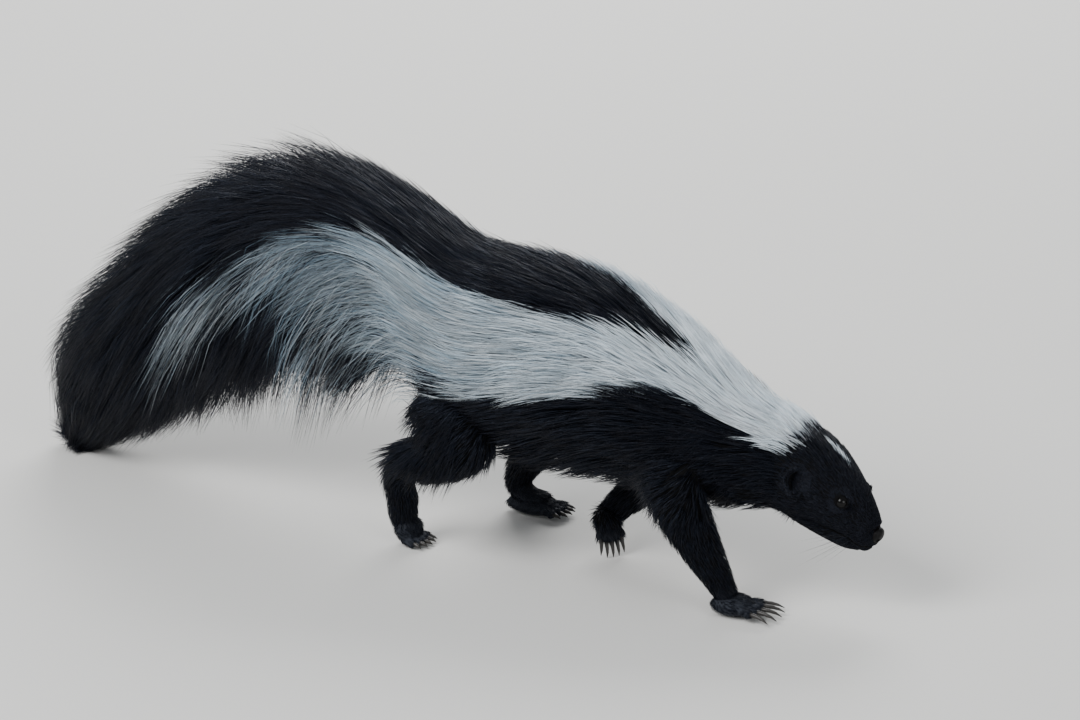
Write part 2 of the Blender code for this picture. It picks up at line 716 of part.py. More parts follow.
def settled():
    """Moves everything so that the origin is on the floor below the middle of the animal."""
    meshes = [obj.data for obj in bpy.context.scene.objects if obj.type == "MESH"]
    corners = np.array([v.co for mesh in meshes for v in mesh.vertices])
    middle = (corners.min(axis=0) + corners.max(axis=0)) / 2
    shift = Matrix.Translation((-middle[0], -middle[1], 0.0))
    for mesh in meshes:
        mesh.transform(shift)


def main():
    clear_scene()
    body = whole_body()
    body_frames = framed(spline(np.array(TRUNK) * CM, 22), (0, 0, 1))
    boolean(body, "UNION", locks(body_frames, BACK_COAT, False))
    pad = nose(body)
    for name, sign in (("ear_right", 1), ("ear_left", -1)):
        painted(ear(name, sign, body), [BLACK_FUR])
    for name, sign in (("eye_right", 1), ("eye_left", -1)):
        painted(ball(name, on_side(EYE, sign), [EYE_RADIUS] * 3), [EYE_BLACK])
    painted(pad, [NOSE_SKIN])
    legs = []
    for leg_name, paw_name in zip(LIMBS, PAWS):
        leg, foot = limb(leg_name, paw_name, body)
        legs.append(leg)
        painted(leg, [BLACK_FUR])
        painted(foot, [PAW_SKIN])
    tail = loft("tail_base", core_rings(TAIL, TAIL_CORE), 14, 12, leans=TAIL_LEAN)
    tail_frames = leaning(spline(np.array(TAIL) * CM, 24), TAIL_LEAN)
    boolean(tail, "UNION", locks(tail_frames, TAIL_COAT))
    cut_clear(tail, legs + [body])
    stood_on_floor(tail)
    cuts = [TAIL_COAT.first + TAIL_COAT.row * row for row in TAIL_CUT_ROWS]
    sleeves = [sleeve(tail_frames, TAIL_COAT, along) for along in cuts]
    tail_base, rest = parted_by(tail, sleeves[0], "tail_middle")
    tail_middle, tail_end = parted_by(rest, sleeves[1], "tail_end")
    torso, front = parted(body, *SHOULDER_CUT, "neck")
    neck, head = parted(front, *NAPE_CUT, "head")
    for obj in (tail_base, tail_middle, tail_end, torso, neck, head):
        painted(obj, [BLACK_FUR, WHITE_FUR], in_stripe)
    settled()


main()
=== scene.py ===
# %% [markdown]
# # A striped skunk, walking with its tail arched behind it
#
# This notebook dresses the solids of a life-size museum model of a striped skunk.
# The solids are loaded first and stay where they are. Everything made here is placed by
# the same sizes that the solids were made from, so nothing has to be fitted afterwards.

# %% The solids
import math

import bpy
import numpy as np
from mathutils import Matrix, Vector


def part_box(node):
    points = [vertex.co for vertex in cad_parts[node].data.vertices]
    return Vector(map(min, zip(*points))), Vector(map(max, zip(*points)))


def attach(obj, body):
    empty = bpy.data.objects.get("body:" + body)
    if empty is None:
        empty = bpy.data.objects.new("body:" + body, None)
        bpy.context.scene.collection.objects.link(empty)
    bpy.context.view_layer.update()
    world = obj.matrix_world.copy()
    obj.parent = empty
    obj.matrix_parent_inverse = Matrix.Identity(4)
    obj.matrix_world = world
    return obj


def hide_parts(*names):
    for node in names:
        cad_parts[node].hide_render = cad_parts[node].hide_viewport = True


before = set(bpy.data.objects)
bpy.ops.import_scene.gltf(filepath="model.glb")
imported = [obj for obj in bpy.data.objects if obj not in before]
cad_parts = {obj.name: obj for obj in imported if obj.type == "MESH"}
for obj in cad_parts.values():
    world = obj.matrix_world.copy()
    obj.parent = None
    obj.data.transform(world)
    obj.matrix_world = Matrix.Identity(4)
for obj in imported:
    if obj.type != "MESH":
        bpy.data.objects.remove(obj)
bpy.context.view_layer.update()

# %% [markdown]
# The body was drawn in centimetres with its own zero point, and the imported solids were
# moved along X so that their box is centred. The right eye is a small ball whose middle
# is known in both, so it tells how far everything moved.

# %% Centimetres of the drawing to metres of the scene
CM = 0.01
EYE = (17.25, -1.45, 7.55)
eye_low, eye_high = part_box("eye_right")
SHIFT = (eye_low[0] + eye_high[0]) / 2 - EYE[0] * CM


def place(x, y, z):
    """A point of the drawing in the scene's metres."""
    return Vector((x * CM + SHIFT, y * CM, z * CM))


print("moved along X by", round(SHIFT, 4), "m")

# %% [markdown]
# A few small helpers keep the later cells short. New primitives must not drag the loaded
# solids along, so everything is deselected first. A finished piece gets its place written
# into its mesh, and rides on the model's one body.

# %% Helpers for selecting, finishing and joining
def deselect():
    """Leaves edit mode and selects nothing."""
    if bpy.context.object and bpy.context.object.mode != "OBJECT":
        bpy.ops.object.mode_set(mode="OBJECT")
    bpy.ops.object.select_all(action="DESELECT")


def pick(*objects):
    """Selects these objects, the first one active."""
    deselect()
    for obj in objects:
        obj.select_set(True)
    bpy.context.view_layer.objects.active = objects[0]
    return objects[0]


def settle(obj, name):
    """Names a piece and writes its place into its mesh."""
    pick(obj)
    bpy.ops.object.transform_apply(location=True, rotation=True, scale=True)
    obj.name = name
    return obj


def join(objects, name):
    """One object of several."""
    first = pick(*objects)
    bpy.ops.object.join()
    return settle(first, name)


def put_on(obj, material):
    """Gives a piece this one material."""
    obj.data.materials.clear()
    obj.data.materials.append(material)


def triangles(obj):
    """How many triangles a mesh has."""
    return sum(len(face.vertices) - 2 for face in obj.data.polygons)


# %% [markdown]
# The camera stands where the photographer stood: to the right front of the animal, a
# little above it, and far off with a long lens, so that near and far parts keep almost
# the same scale. The lens follows from the size of the animal in the frame.

# %% The camera
AROUND = math.radians(30)
ABOVE = math.radians(20)
AWAY = 4.0
LENS = 213.3
SENSOR = 36
aim = place(-5.65, 1.6, 11.6)
towards = Vector(
    (math.sin(AROUND) * math.cos(ABOVE), -math.cos(AROUND) * math.cos(ABOVE), math.sin(ABOVE))
)
deselect()
bpy.ops.object.camera_add(location=aim + towards * AWAY, rotation=(math.pi / 2 - ABOVE, 0, AROUND))
camera = bpy.context.object
camera.name = "camera"
camera.data.lens = LENS
camera.data.sensor_width = SENSOR
bpy.context.scene.camera = camera
print("camera", [round(value, 3) for value in camera.location])

# %% [markdown]
# The skunk walks on a plain pale floor in a soft studio light. A large lamp above the
# camera's left shoulder models the forms, a second one behind the animal puts the shine
# on the black coat and lights the fringe of the tail, and a pale sky fills the shadows.

# %% Colours, nodes, floor and lights
def colour(code):
    """An sRGB hex colour as linear values with full opacity."""
    parts = [int(code[i : i + 2], 16) / 255 for i in (0, 2, 4)]
    linear = [c / 12.92 if c <= 0.04045 else ((c + 0.055) / 1.055) ** 2.4 for c in parts]
    return (*linear, 1.0)


def new_material(name, **settings):
    """A material with its node tree and its shader, whose plain values are set."""
    material = bpy.data.materials.new(name)
    material.use_nodes = True
    shader = material.node_tree.nodes["Principled BSDF"]
    for key, value in settings.items():
        shader.inputs[key.replace("_", " ")].default_value = value
    return material, material.node_tree, shader


def add_node(tree, kind, links=None, values=None, **settings):
    """Adds a node with its settings, plain values for its numbered sockets, and links."""
    node = tree.nodes.new(kind)
    for key, value in settings.items():
        if hasattr(node, key):
            setattr(node, key, value)
        else:
            node.inputs[key.replace("_", " ")].default_value = value
    for number, value in (values or {}).items():
        node.inputs[number].default_value = value
    for key, source in (links or {}).items():
        tree.links.new(source, node.inputs[key])
    return node


floor_paint, _, _ = new_material("matte studio paint", Base_Color=colour("d9d8d5"), Roughness=0.9)
deselect()
bpy.ops.mesh.primitive_plane_add(size=60, location=(0, 0, 0))
floor = bpy.context.object
floor.name = "floor"
put_on(floor, floor_paint)
settle(floor, "floor")

LAMPS = (
    ("key", (-0.9, -1.9, 2.1), 1.6, 85),
    ("rim", (-0.7, 1.7, 1.5), 1.4, 48),
    ("front", (2.2, -1.0, 1.0), 1.4, 22),
)
for lamp, spot, size, power in LAMPS:
    bpy.ops.object.light_add(type="AREA", location=spot)
    light = bpy.context.object
    light.name = lamp
    light.data.size = size
    light.data.energy = power
    light.rotation_euler = (Vector((0, 0, 0.1)) - Vector(spot)).to_track_quat("-Z", "Y").to_euler()
world = bpy.data.worlds.new("studio")
bpy.context.scene.world = world
world.use_nodes = True
world.node_tree.nodes["Background"].inputs["Color"].default_value = colour("e8edf2")
world.node_tree.nodes["Background"].inputs["Strength"].default_value = 0.55
print("floor and", len(LAMPS), "lamps")

# %% [markdown]
# Skin and coat share one set of forms. Each is a row of oval rings: the middle, the half
# width, the half height above and below, all out to the tips of the coat, and the turn of
# the ring from upright. The tail is by far the largest form, because its hairs are long.

# %% Forms of the trunk, head and tail
TRUNK = [
    (-12.9, 0, 14.8, 2.4, 2.6, 2.6, 0), (-11.9, 0, 14.0, 4.6, 4.4, 4.8, 0),
    (-10, 0, 13.3, 5.9, 5.9, 5.9, 0), (-7, 0, 12.7, 6.6, 6.8, 6.7, 0),
    (-3, 0, 12.2, 6.6, 7.0, 6.8, 0), (1, 0, 11.8, 6.2, 6.6, 6.4, 0),
    (4.5, 0, 11.0, 5.7, 5.6, 5.8, 0), (7.5, 0, 10.2, 5.0, 4.5, 5.1, 0),
    (10, 0, 9.6, 4.3, 3.5, 4.2, 0), (12.3, 0, 9.0, 3.5, 3.0, 3.4, 0),
    (13.8, 0, 8.4, 2.9, 2.5, 2.9, 0),
]
HEAD = [
    (10.6, 0, 9.9, 2.2, 2.0, 2.4, 0), (12.3, 0, 9.5, 3.0, 2.7, 3.1, 8),
    (13.8, 0, 8.8, 3.2, 2.6, 3.3, 20), (15.2, 0, 7.95, 2.85, 2.45, 2.8, 30),
    (16.4, 0, 7.0, 2.2, 2.15, 2.1, 36), (17.4, 0, 6.15, 1.6, 1.7, 1.45, 38),
    (18.1, 0, 5.55, 1.2, 1.3, 1.1, 38), (18.5, 0, 5.25, 0.9, 0.95, 0.8, 38),
]
JAW = [
    (13.2, 0, 7.3, 2.0, 1.4, 1.5, 30), (14.7, 0, 6.4, 1.9, 1.3, 1.45, 30),
    (16.1, 0, 5.6, 1.45, 1.0, 1.25, 30), (17.3, 0, 4.95, 1.0, 0.8, 1.0, 30),
    (18.1, 0, 4.6, 0.62, 0.5, 0.6, 30),
]
TAIL = [
    (-9.6, 0, 15.0, 3.4, 3.4, 6.0, 16), (-14.2, 0, 17.4, 4.4, 3.6, 10.4, 8),
    (-18.2, 0, 18.6, 5.4, 4.4, 12.8, 0), (-22, 0, 18.3, 6.2, 5.4, 12.0, -7),
    (-25.8, 0, 16.7, 6.5, 5.6, 10.6, -14), (-29.8, 0, 13.6, 6.2, 5.3, 9.2, -23),
    (-33.4, 0, 9.6, 5.4, 5.1, 7.0, -34), (-36.2, 0, 5.7, 4.2, 5.1, 4.8, -44),
    (-37.9, 0, 3.0, 2.8, 4.0, 3.0, -50), (-38.8, 0, 1.5, 1.5, 2.4, 1.6, -54),
    (-39.3, 0, 0.3, 0.8, 1.2, 0.9, -58),
]

# %% [markdown]
# The coat of the back doesn't end at the rump: its hairs run on over the root of the tail.
# So the coat's upper side follows one more form, which goes from the nape over the back
# and along the tail in one row of rings, and has no waist between rump and tail.

# %% The form of the coat from the nape to the tip of the tail
SPINE = [
    (14.6, 0, 8.25, 2.95, 2.7, 2.9, 20), (12.9, 0, 9.0, 3.4, 3.05, 3.4, 8),
    *[row for row in TRUNK[-3:1:-1] if row[0] > -9],
    (-10.5, 0, 14.4, 5.7, 5.1, 8.0, 4), (-14.2, 0, 17.4, 5.2, 3.8, 10.4, 4), *TAIL[2:],
]
# The row where the tail's own rings begin.
TAIL_ROWS = 9
print("a spine of", len(SPINE), "rings")

# %% [markdown]
# The legs are short. The right hind leg stands straight with its heel off the ground, the
# left one is set forward with its whole foot down. The right forefoot is planted ahead,
# the left one is lifted on its claws under the chest.

# %% Forms of the legs
LEGS = {
    "hind_right": [
        (-8.9, -1, 13, 2.6, 3.4, 3.2, 85), (-8.4, -3.7, 10, 2.9, 3.7, 3.4, 72),
        (-7.6, -4.6, 7.6, 2.3, 2.6, 2.6, 100), (-9.9, -4.5, 6.2, 1.7, 1.9, 1.9, 150),
        (-12.2, -4.3, 5.0, 1.15, 1.3, 1.4, 120), (-12.3, -4.15, 3.2, 1.0, 1.1, 1.15, 88),
        (-12.2, -4, 1.2, 0.9, 0.9, 1.0, 85),
    ],
    "hind_left": [
        (-8.5, 1, 13, 2.6, 3.4, 3.2, 75), (-7.4, 3.7, 10, 2.9, 3.5, 3.3, 62),
        (-6.2, 4.6, 7.8, 2.3, 2.4, 2.5, 90), (-7.4, 4.5, 5.0, 1.6, 1.7, 1.7, 116),
        (-8.8, 4.35, 2.3, 0.95, 1.05, 1.05, 110), (-8.4, 4.3, 1.3, 0.9, 0.85, 0.85, 40),
        (-6.8, 4.4, 0.9, 0.9, 0.7, 0.8, 10),
    ],
    "fore_right": [
        (5.8, -0.8, 11.2, 2.2, 2.6, 2.6, 70), (6.8, -3.6, 8.6, 2.2, 2.6, 2.7, 66),
        (8.2, -4.5, 5.8, 1.7, 1.8, 1.9, 60), (10.5, -4.3, 1.9, 0.95, 0.95, 1.05, 60),
        (11.1, -4.2, 0.9, 0.9, 0.75, 0.8, 45),
    ],
    "fore_left": [
        (5.6, 0.8, 11.2, 2.2, 2.6, 2.6, 112), (4.2, 3.6, 8.2, 2.2, 2.6, 2.6, 118),
        (2.6, 3.3, 5.6, 1.7, 1.8, 1.8, 132), (-0.5, 1.3, 2.3, 0.85, 0.85, 0.95, 136),
        (-0.4, 0.95, 1.6, 0.7, 0.7, 0.75, 100),
    ],
}


def along(table, at):
    """The rows' values at places counted in rows, on a smooth curve through the rows."""
    rows = np.array(table, float)
    at = np.clip(at, 0, len(rows) - 1)
    first = np.minimum(at.astype(int), len(rows) - 2)
    part = (at - first)[:, None]
    a, b, c, d = (rows[np.clip(first + step, 0, len(rows) - 1)] for step in (-1, 0, 1, 2))
    bend = 2 * a - 5 * b + 4 * c - d
    return b + 0.5 * part * (c - a + part * (bend + part * (3 * (b - c) + d - a)))


print("forms of", 3 + len(LEGS), "limbs and trunk")

# %% [markdown]
# The skin is modelled as a taxidermist's form: every ring is a disc that is extruded to
# the next ring, turned and resized there. It lies under the coat by the coat's depth,
# thick over the rump, thin over the face, and along the tail it is only the slim tail
# bone with its flesh, because there the coat is nearly everything.

# %% A form drawn out from ring to ring
def draw_out(table, shares, sides=24, steps=3):
    """Extrudes a disc along a form's rings, at a share of their size."""
    count = (len(table) - 1) * steps + 1
    at = np.linspace(0, len(table) - 1, count)
    rows = along(table, at)
    share = np.interp(at, np.linspace(0, len(table) - 1, len(shares)), shares)
    deselect()
    before = None
    for (x, y, z, side, upper, lower, lean), part in zip(rows.tolist(), share.tolist()):
        turn = math.radians(lean)
        lift = Vector((math.sin(turn), 0, math.cos(turn))) * (upper - lower) / 2 * part * CM
        middle = place(x, y, z) + lift
        wide = side * part * CM
        tall = (upper + lower) / 2 * part * CM
        if before is None:
            bpy.ops.mesh.primitive_circle_add(
                vertices=sides, radius=tall, fill_type="NGON", location=middle,
                rotation=(0, turn - math.pi / 2, 0),
            )
            bpy.ops.object.mode_set(mode="EDIT")
            bpy.ops.mesh.select_all(action="SELECT")
            bpy.ops.transform.resize(value=(1, wide / tall, 1), center_override=middle)
        else:
            spot, old_turn, old_wide, old_tall = before
            move = {"value": middle - spot}
            bpy.ops.mesh.extrude_region_move(TRANSFORM_OT_translate=move)
            bpy.ops.transform.rotate(
                value=old_turn - turn, orient_axis="Y", center_override=middle
            )
            grow = tall / old_tall
            size = (grow, wide / old_wide, grow)
            bpy.ops.transform.resize(value=size, center_override=middle)
        before = (middle, turn, wide, tall)
    bpy.ops.mesh.select_all(action="SELECT")
    bpy.ops.mesh.normals_make_consistent(inside=False)
    bpy.ops.object.mode_set(mode="OBJECT")
    return bpy.context.object


TRUNK_SKIN = (0.5, 0.7, 0.78, 0.8, 0.8, 0.8, 0.82, 0.84, 0.86, 0.87, 0.88)
TAIL_SKIN = (0.6, 0.36, 0.24, 0.19, 0.17, 0.17, 0.18, 0.2, 0.22, 0.3, 0.4)
LEG_SKIN = (0.72, 0.76, 0.82, 0.86)
body_forms = [draw_out(TRUNK, TRUNK_SKIN, 32), draw_out(TAIL, TAIL_SKIN)]
body_forms += [draw_out(table, LEG_SKIN, 20) for table in LEGS.values()]
print("drawn out", len(body_forms), "forms")

# %% [markdown]
# Overlapping forms become one skin with a voxel remesh, which keeps only their outside,
# and a smoothing turns the creases between them into the soft folds of armpit and groin.

# %% Fusing forms into one skin
def apply_all(obj):
    """Applies every modifier."""
    pick(obj)
    for modifier in list(obj.modifiers):
        bpy.ops.object.modifier_apply(modifier=modifier.name)


def fuse(forms, name, voxel, rounds):
    """One smooth closed skin round overlapping forms."""
    skin = join(forms, name)
    remesh = skin.modifiers.new("remesh", "REMESH")
    remesh.mode = "VOXEL"
    remesh.voxel_size = voxel
    soften = skin.modifiers.new("soften", "SMOOTH")
    soften.factor = 0.5
    soften.iterations = rounds
    apply_all(skin)
    print(name, "has", triangles(skin), "triangles")
    return skin


body_skin = fuse(body_forms, "body_skin", 0.0024, 6)

# %% [markdown]
# A skunk walks on bare, wrinkled soles with five short toes on each foot, joined for much
# of their length. Palm and toes are small balls stretched and turned into place. The long
# claws of the forefeet, made for digging, come later as pieces of their own.

# %% Feet and their toes
# For each foot: the knuckles' place, heading, the palm's half sizes and pitch, the toes'
# pitch and length, the claws' length, and the angle between two toes.
PAWS = {
    "hind_right": ((-11.7, -4, 0.35), 0, (0.95, 1, 0.75), 65, 0, 0.8, 0.7, 7),
    "hind_left": ((-6.6, 4.4, 0.5), 3, (1.9, 1, 0.6), 0, 0, 0.95, 0.7, 7),
    "fore_right": ((12.05, -4.1, 0.5), 8, (1.35, 1.15, 0.62), 0, 0, 1.0, 1.45, 9),
    "fore_left": ((-0.1, 0.6, 1.3), -35, (0.9, 0.85, 0.55), 60, 60, 0.75, 1.1, 4),
}
TOE_REACH = (0.7, 0.95, 1.0, 0.95, 0.75)


def turn_of(axis, degrees):
    """A turn about one axis."""
    return Matrix.Rotation(math.radians(degrees), 4, axis)


def ball(middle, sizes, turn=Matrix(), segments=24):
    """A ball stretched to its half sizes in centimetres, turned and placed."""
    deselect()
    bpy.ops.mesh.primitive_uv_sphere_add(
        segments=segments, ring_count=segments // 2, radius=CM, location=place(*middle),
        rotation=turn.to_euler(),
    )
    obj = bpy.context.object
    obj.scale = sizes
    return obj


# How much each foot is raised so that its lowest point touches the floor. It is measured
# below, once the claws' lines are known.
RAISED = dict.fromkeys(PAWS, 0.0)


def toes(paw):
    """Where each toe starts and ends, with its turn."""
    knuckles, heading, palm, _, pitch, length, _, fan = PAWS[paw]
    knuckles = Vector(knuckles) + Vector((0, 0, RAISED[paw]))
    level = turn_of("Z", heading)
    for step, reach in zip((-2, -1, 0, 1, 2), TOE_REACH):
        turn = level @ turn_of("Y", pitch) @ turn_of("Z", step * fan)
        root = knuckles + level @ Vector((0, step * palm[1] * 0.34, 0))
        start = root + turn @ Vector((-0.3, 0, 0.02))
        yield start, root + turn @ Vector((length * reach, 0, -0.1)), turn


print("toes of", len(PAWS), "feet")

# %% [markdown]
# Claws and lips are thin round forms along a line. A claw is drawn as steps
# along its length, so that long and short claws have the same bend.

# %% A thin form along a line, and the line of a claw
def thread(spots, sizes, turn, sides=8):
    """A thin round form extruded along a line, closed at both ends."""
    deselect()
    bpy.ops.mesh.primitive_circle_add(
        vertices=sides, radius=sizes[0] * CM, fill_type="NGON", location=place(*spots[0]),
        rotation=(turn @ turn_of("Y", 90)).to_euler(),
    )
    bpy.ops.object.mode_set(mode="EDIT")
    bpy.ops.mesh.select_all(action="SELECT")
    for step in range(1, len(spots)):
        move = {"value": (spots[step] - spots[step - 1]) * CM}
        bpy.ops.mesh.extrude_region_move(TRANSFORM_OT_translate=move)
        grow = sizes[step] / sizes[step - 1]
        bpy.ops.transform.resize(value=(grow,) * 3, center_override=place(*spots[step]))
    bpy.ops.mesh.select_all(action="SELECT")
    bpy.ops.mesh.normals_make_consistent(inside=False)
    bpy.ops.object.mode_set(mode="OBJECT")
    return bpy.context.object


# Each step of a claw: how far along it, how high, and its thickness there.
CLAW_CURVE = (
    (-0.2, 0, 0.15), (0.15, 0.05, 0.155), (0.45, 0.04, 0.13), (0.75, -0.06, 0.09), (1.0, -0.24, 0.025),
)


def claw_line(paw, end, turn):
    """The middle line of the claw at a toe's end."""
    length = PAWS[paw][6]
    return [
        end + turn @ Vector((part * length, 0, drop * length * 0.7)) for part, drop, _ in CLAW_CURVE
    ]


print("claws of", len(CLAW_CURVE), "steps")

# %% [markdown]
# A foot is raised until its palm or its claws just touch the floor, whichever is lower.

# %% Palms and toes
paw_forms = []
for paw in PAWS:
    knuckles, heading, palm, palm_pitch = PAWS[paw][:4]
    palm_turn = turn_of("Z", heading) @ turn_of("Y", palm_pitch)
    middle = Vector(knuckles) - palm_turn @ Vector((palm[0] * 0.55, 0, 0))
    row = palm_turn.to_3x3()[2]
    palm_low = middle.z - math.sqrt(sum((row[i] * palm[i]) ** 2 for i in range(3)))
    claw_low = min(
        spot.z - size for _, end, turn in toes(paw)
        for spot, (_, _, size) in zip(claw_line(paw, end, turn), CLAW_CURVE)
    )
    RAISED[paw] = -min(palm_low, claw_low)
    print(paw, "raised by", round(RAISED[paw], 2), "cm")
    middle.z += RAISED[paw]
    paw_forms.append(ball(middle, palm, palm_turn))
    for start, end, turn in toes(paw):
        reach = (end - start).length / 2 + 0.25
        paw_forms.append(ball((start + end) / 2, (reach, 0.27, 0.29), turn, 16))
        pad = end - Vector((0.1, 0, 0)) @ turn.to_3x3().transposed()
        paw_forms.append(ball(pad, (0.3, 0.29, 0.3), turn, 16))
paw_skin = fuse(paw_forms, "paw_skin", 0.0007, 4)

# %% [markdown]
# The head gets the most care. Skull and jaw are two drawn-out forms that meet in the line
# of the mouth. A ring of flesh round each eye gives the lids, pads at the end of the snout
# carry the whiskers, and the ears are small round cups set low behind the cheeks.

# %% The skull, the jaw and the lids
EYE_OUT = Vector((0.4, -0.85, 0.35)).normalized()
WHISKER_PAD = (17.95, -0.58, 5.25)
EAR = (14.8, -2.75, 8.8)
EAR_OPEN = Vector((0.6, -0.7, 0.2)).normalized()


def mirrored(point, sign):
    """The same point on the right (-1) or left (1) side."""
    return Vector((point[0], -point[1] * sign, point[2]))


def facing(out, up=Vector((0, 0, 1))):
    """A turn whose Z looks along a direction, with X as level as can be."""
    z = Vector(out).normalized()
    x = up.cross(z).normalized()
    y = z.cross(x)
    return Matrix((x, y, z)).transposed().to_4x4()


head_forms = [draw_out(HEAD, (0.88, 0.9, 0.91, 0.92, 0.93, 0.94, 0.95, 0.95), 32, 4)]
head_forms.append(draw_out(JAW, (0.88, 0.92, 0.95), 24, 4))
head_forms.append(ball((18.3, 0, 5.35), (0.95, 0.8, 0.82), turn_of("Y", 38)))
head_forms.append(ball((18.0, 0, 4.65), (0.62, 0.52, 0.5), turn_of("Y", 30)))
for sign in (-1, 1):
    out = mirrored(EYE_OUT, sign)
    turn = facing(out, Vector((0.45, 0, 1)))
    lid_middle = Vector(mirrored(EYE, sign)) + out * 0.2
    bpy.ops.mesh.primitive_torus_add(
        major_segments=32, minor_segments=12, major_radius=0.35 * CM, minor_radius=0.09 * CM,
        location=place(*lid_middle), rotation=turn.to_euler(),
    )
    lid = bpy.context.object
    lid.scale = (1.16, 0.84, 1.0)
    head_forms.append(lid)
    head_forms.append(ball(mirrored(WHISKER_PAD, sign), (0.8, 0.5, 0.48), turn_of("Y", 38)))

# %% [markdown]
# An ear starts as a ball. The side that looks forward is cut away, the cut is left open,
# and the shell that stays gets the thickness of an ear's skin.

# %% The ears
for sign in (-1, 1):
    middle = mirrored(EAR, sign)
    open_side = mirrored(EAR_OPEN, sign)
    turn = facing(open_side)
    cup = ball(middle, (0.72, 0.84, 0.5), turn, 32)
    settle(cup, "ear")
    bpy.ops.object.mode_set(mode="EDIT")
    bpy.ops.mesh.select_all(action="SELECT")
    cut_at = place(*(middle + open_side * 0.12))
    bpy.ops.mesh.bisect(plane_co=cut_at, plane_no=open_side, clear_outer=True)
    bpy.ops.object.mode_set(mode="OBJECT")
    wall = cup.modifiers.new("wall", "SOLIDIFY")
    wall.thickness = 0.002
    wall.offset = -1
    apply_all(cup)
    head_forms.append(cup)
    root = middle + Vector((-0.25, 0.35 * sign * -1, -0.75))
    head_forms.append(ball(root, (0.7, 0.5, 0.75)))
head_skin = fuse(head_forms, "head_skin", 0.0007, 3)

# %% [markdown]
# The line of the mouth runs from under the nose back to below the eye. Its place on the
# skin is found by looking at the head from the side, and a thin thread of flesh above and
# below it makes the lips.

# %% The lips
MOUTH_POINTS = (
    (16.2, 5.7), (16.7, 5.46), (17.2, 5.22), (17.7, 4.98), (18.2, 4.74), (18.55, 4.56),
)


def on_head(spot, towards_head):
    """Where a look from outside first meets the head, in centimetres."""
    start = spot - Vector(towards_head) * 6
    _, hit, _, _ = head_skin.ray_cast(place(*start), Vector(towards_head))
    return Vector(((hit.x - SHIFT) / CM, hit.y / CM, hit.z / CM))


lip_lines = []
lips = []
for sign in (-1, 1):
    line = [on_head(Vector((x, 0, z)), (0, -sign, 0)) for x, z in MOUTH_POINTS]
    line += [on_head(Vector((18.6, y * sign, 4.5)), (-1, 0, 0)) for y in (0.3, 0.0)]
    lip_lines.append(line)
    for side in (-1, 1):
        apart = Vector((0.03, 0, 0.07)) * side
        sizes = (0.03, 0.055, 0.06, 0.065, 0.065, 0.06, 0.055, 0.05)
        lips.append(thread([spot + apart for spot in line], sizes, turn_of("Z", -50 * sign), 6))
lips = join(lips, "lips")
print("lips with", triangles(lips), "triangles")

# %% [markdown]
# The skins and the lips are joined into one piece that stands for every node of flesh. It is
# black or white like the coat above it, so that no pale gap shows between the tufts.

# %% One skin for the whole animal
skin = join([body_skin, head_skin, paw_skin, lips], "skin")
bpy.ops.object.shade_smooth()
FLESH = [
    "head", "neck", "torso", "tail_base", "tail_middle", "tail_end", "ear_right", "ear_left",
    "foreleg_right", "foreleg_left", "hindleg_right", "hindleg_left", "forepaw_right",
    "forepaw_left", "hindpaw_right", "hindpaw_left",
]
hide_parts(*FLESH)
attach(skin, "root")
print("skin has", triangles(skin), "triangles")

# %% [markdown]
# The markings name the animal: a white cap on the nape parts over the shoulders into two
# stripes that run along the flanks of the black back and on along both sides of the
# tail. A thin white line runs down the forehead. They are given as angles from the top of
# each ring, so that skin and coat can share them. Hairs near an edge mix both colours.

# %% The markings
def smooth_step(value, low, high):
    """0 below low, 1 above high, and a soft rise between."""
    part = np.clip((value - low) / (high - low), 0, 1)
    return part * part * (3 - 2 * part)


UPPER_EDGE = (
    (-31.8, -30.4, -28.6, -23.5, -21, -19, -17, -15.6, -13, -11, -8, -3.8, -1.6, 0.6, 3, 4.4, 6.2, 7.2),
    (124, 102, 91, 86, 81, 72, 58, 50, 43, 38, 37, 32, 27, 22, 13, 9.5, 4, -20),
)
LOWER_EDGE = (
    (-31.8, -30, -27.8, -25.6, -23, -21, -17, -14.5, -12, -9, -5.8, -1.6, 0.4, 2.1, 3.8, 5.6, 8.3, 10.7, 12.3,
     13, 13.9, 14.5, 14.8),
    (122, 122, 116, 112, 108, 109, 116, 127, 118, 108, 94, 86, 80, 66, 56, 48, 46, 50, 62, 57, 42, 22, -9),
)
# Over the shoulders the black of the back lies a little to the right.
BACK_MIDDLE = ((-8, -3.8, -1.6, 0.6, 3, 6.5, 8), (0, -7, -12, -14, -11, -10, -4))
# How pale the white is along the animal: greyer towards the rump and the tail, partly from dark hair in it
# and partly as painted shade, and brightest at the nape.
PALE_AND_SHADE = ((-34, -27, -19, -11, -5, 6), (0.46, 0.52, 0.6, 0.8, 0.9, 1.0))


def stripe_white(x, angle):
    """How white the coat is at a place along the spine and an angle from the top."""
    from_middle = np.abs(angle - np.interp(x, *BACK_MIDDLE))
    soft = np.interp(x, (-30, -14, -6, 6), (9, 8, 4, 2.5))
    below = smooth_step(from_middle - np.interp(x, *UPPER_EDGE), -soft, soft)
    above = 1 - smooth_step(np.abs(angle) - np.interp(x, *LOWER_EDGE), -soft, soft)
    return below * above * (x < 14.8) * smooth_step(x, -34, -32.5)


def brow_white(x, y, z):
    """The thin line down the forehead."""
    wide = np.interp(x, (15.6, 16.4, 17.1), (0.07, 0.17, 0.1))
    return (np.abs(y - 0.2) < wide) * (x > 15.6) * (x < 17.1) * (z > 7.6)


# %% [markdown]
# Each point of the skin looks up how white the coat above it is, by its place along the
# spine and its angle from the top there.

# %% The skin's own markings
points = np.empty(len(skin.data.vertices) * 3)
skin.data.vertices.foreach_get("co", points)
points = points.reshape(-1, 3) / CM - np.array([SHIFT / CM, 0, 0])


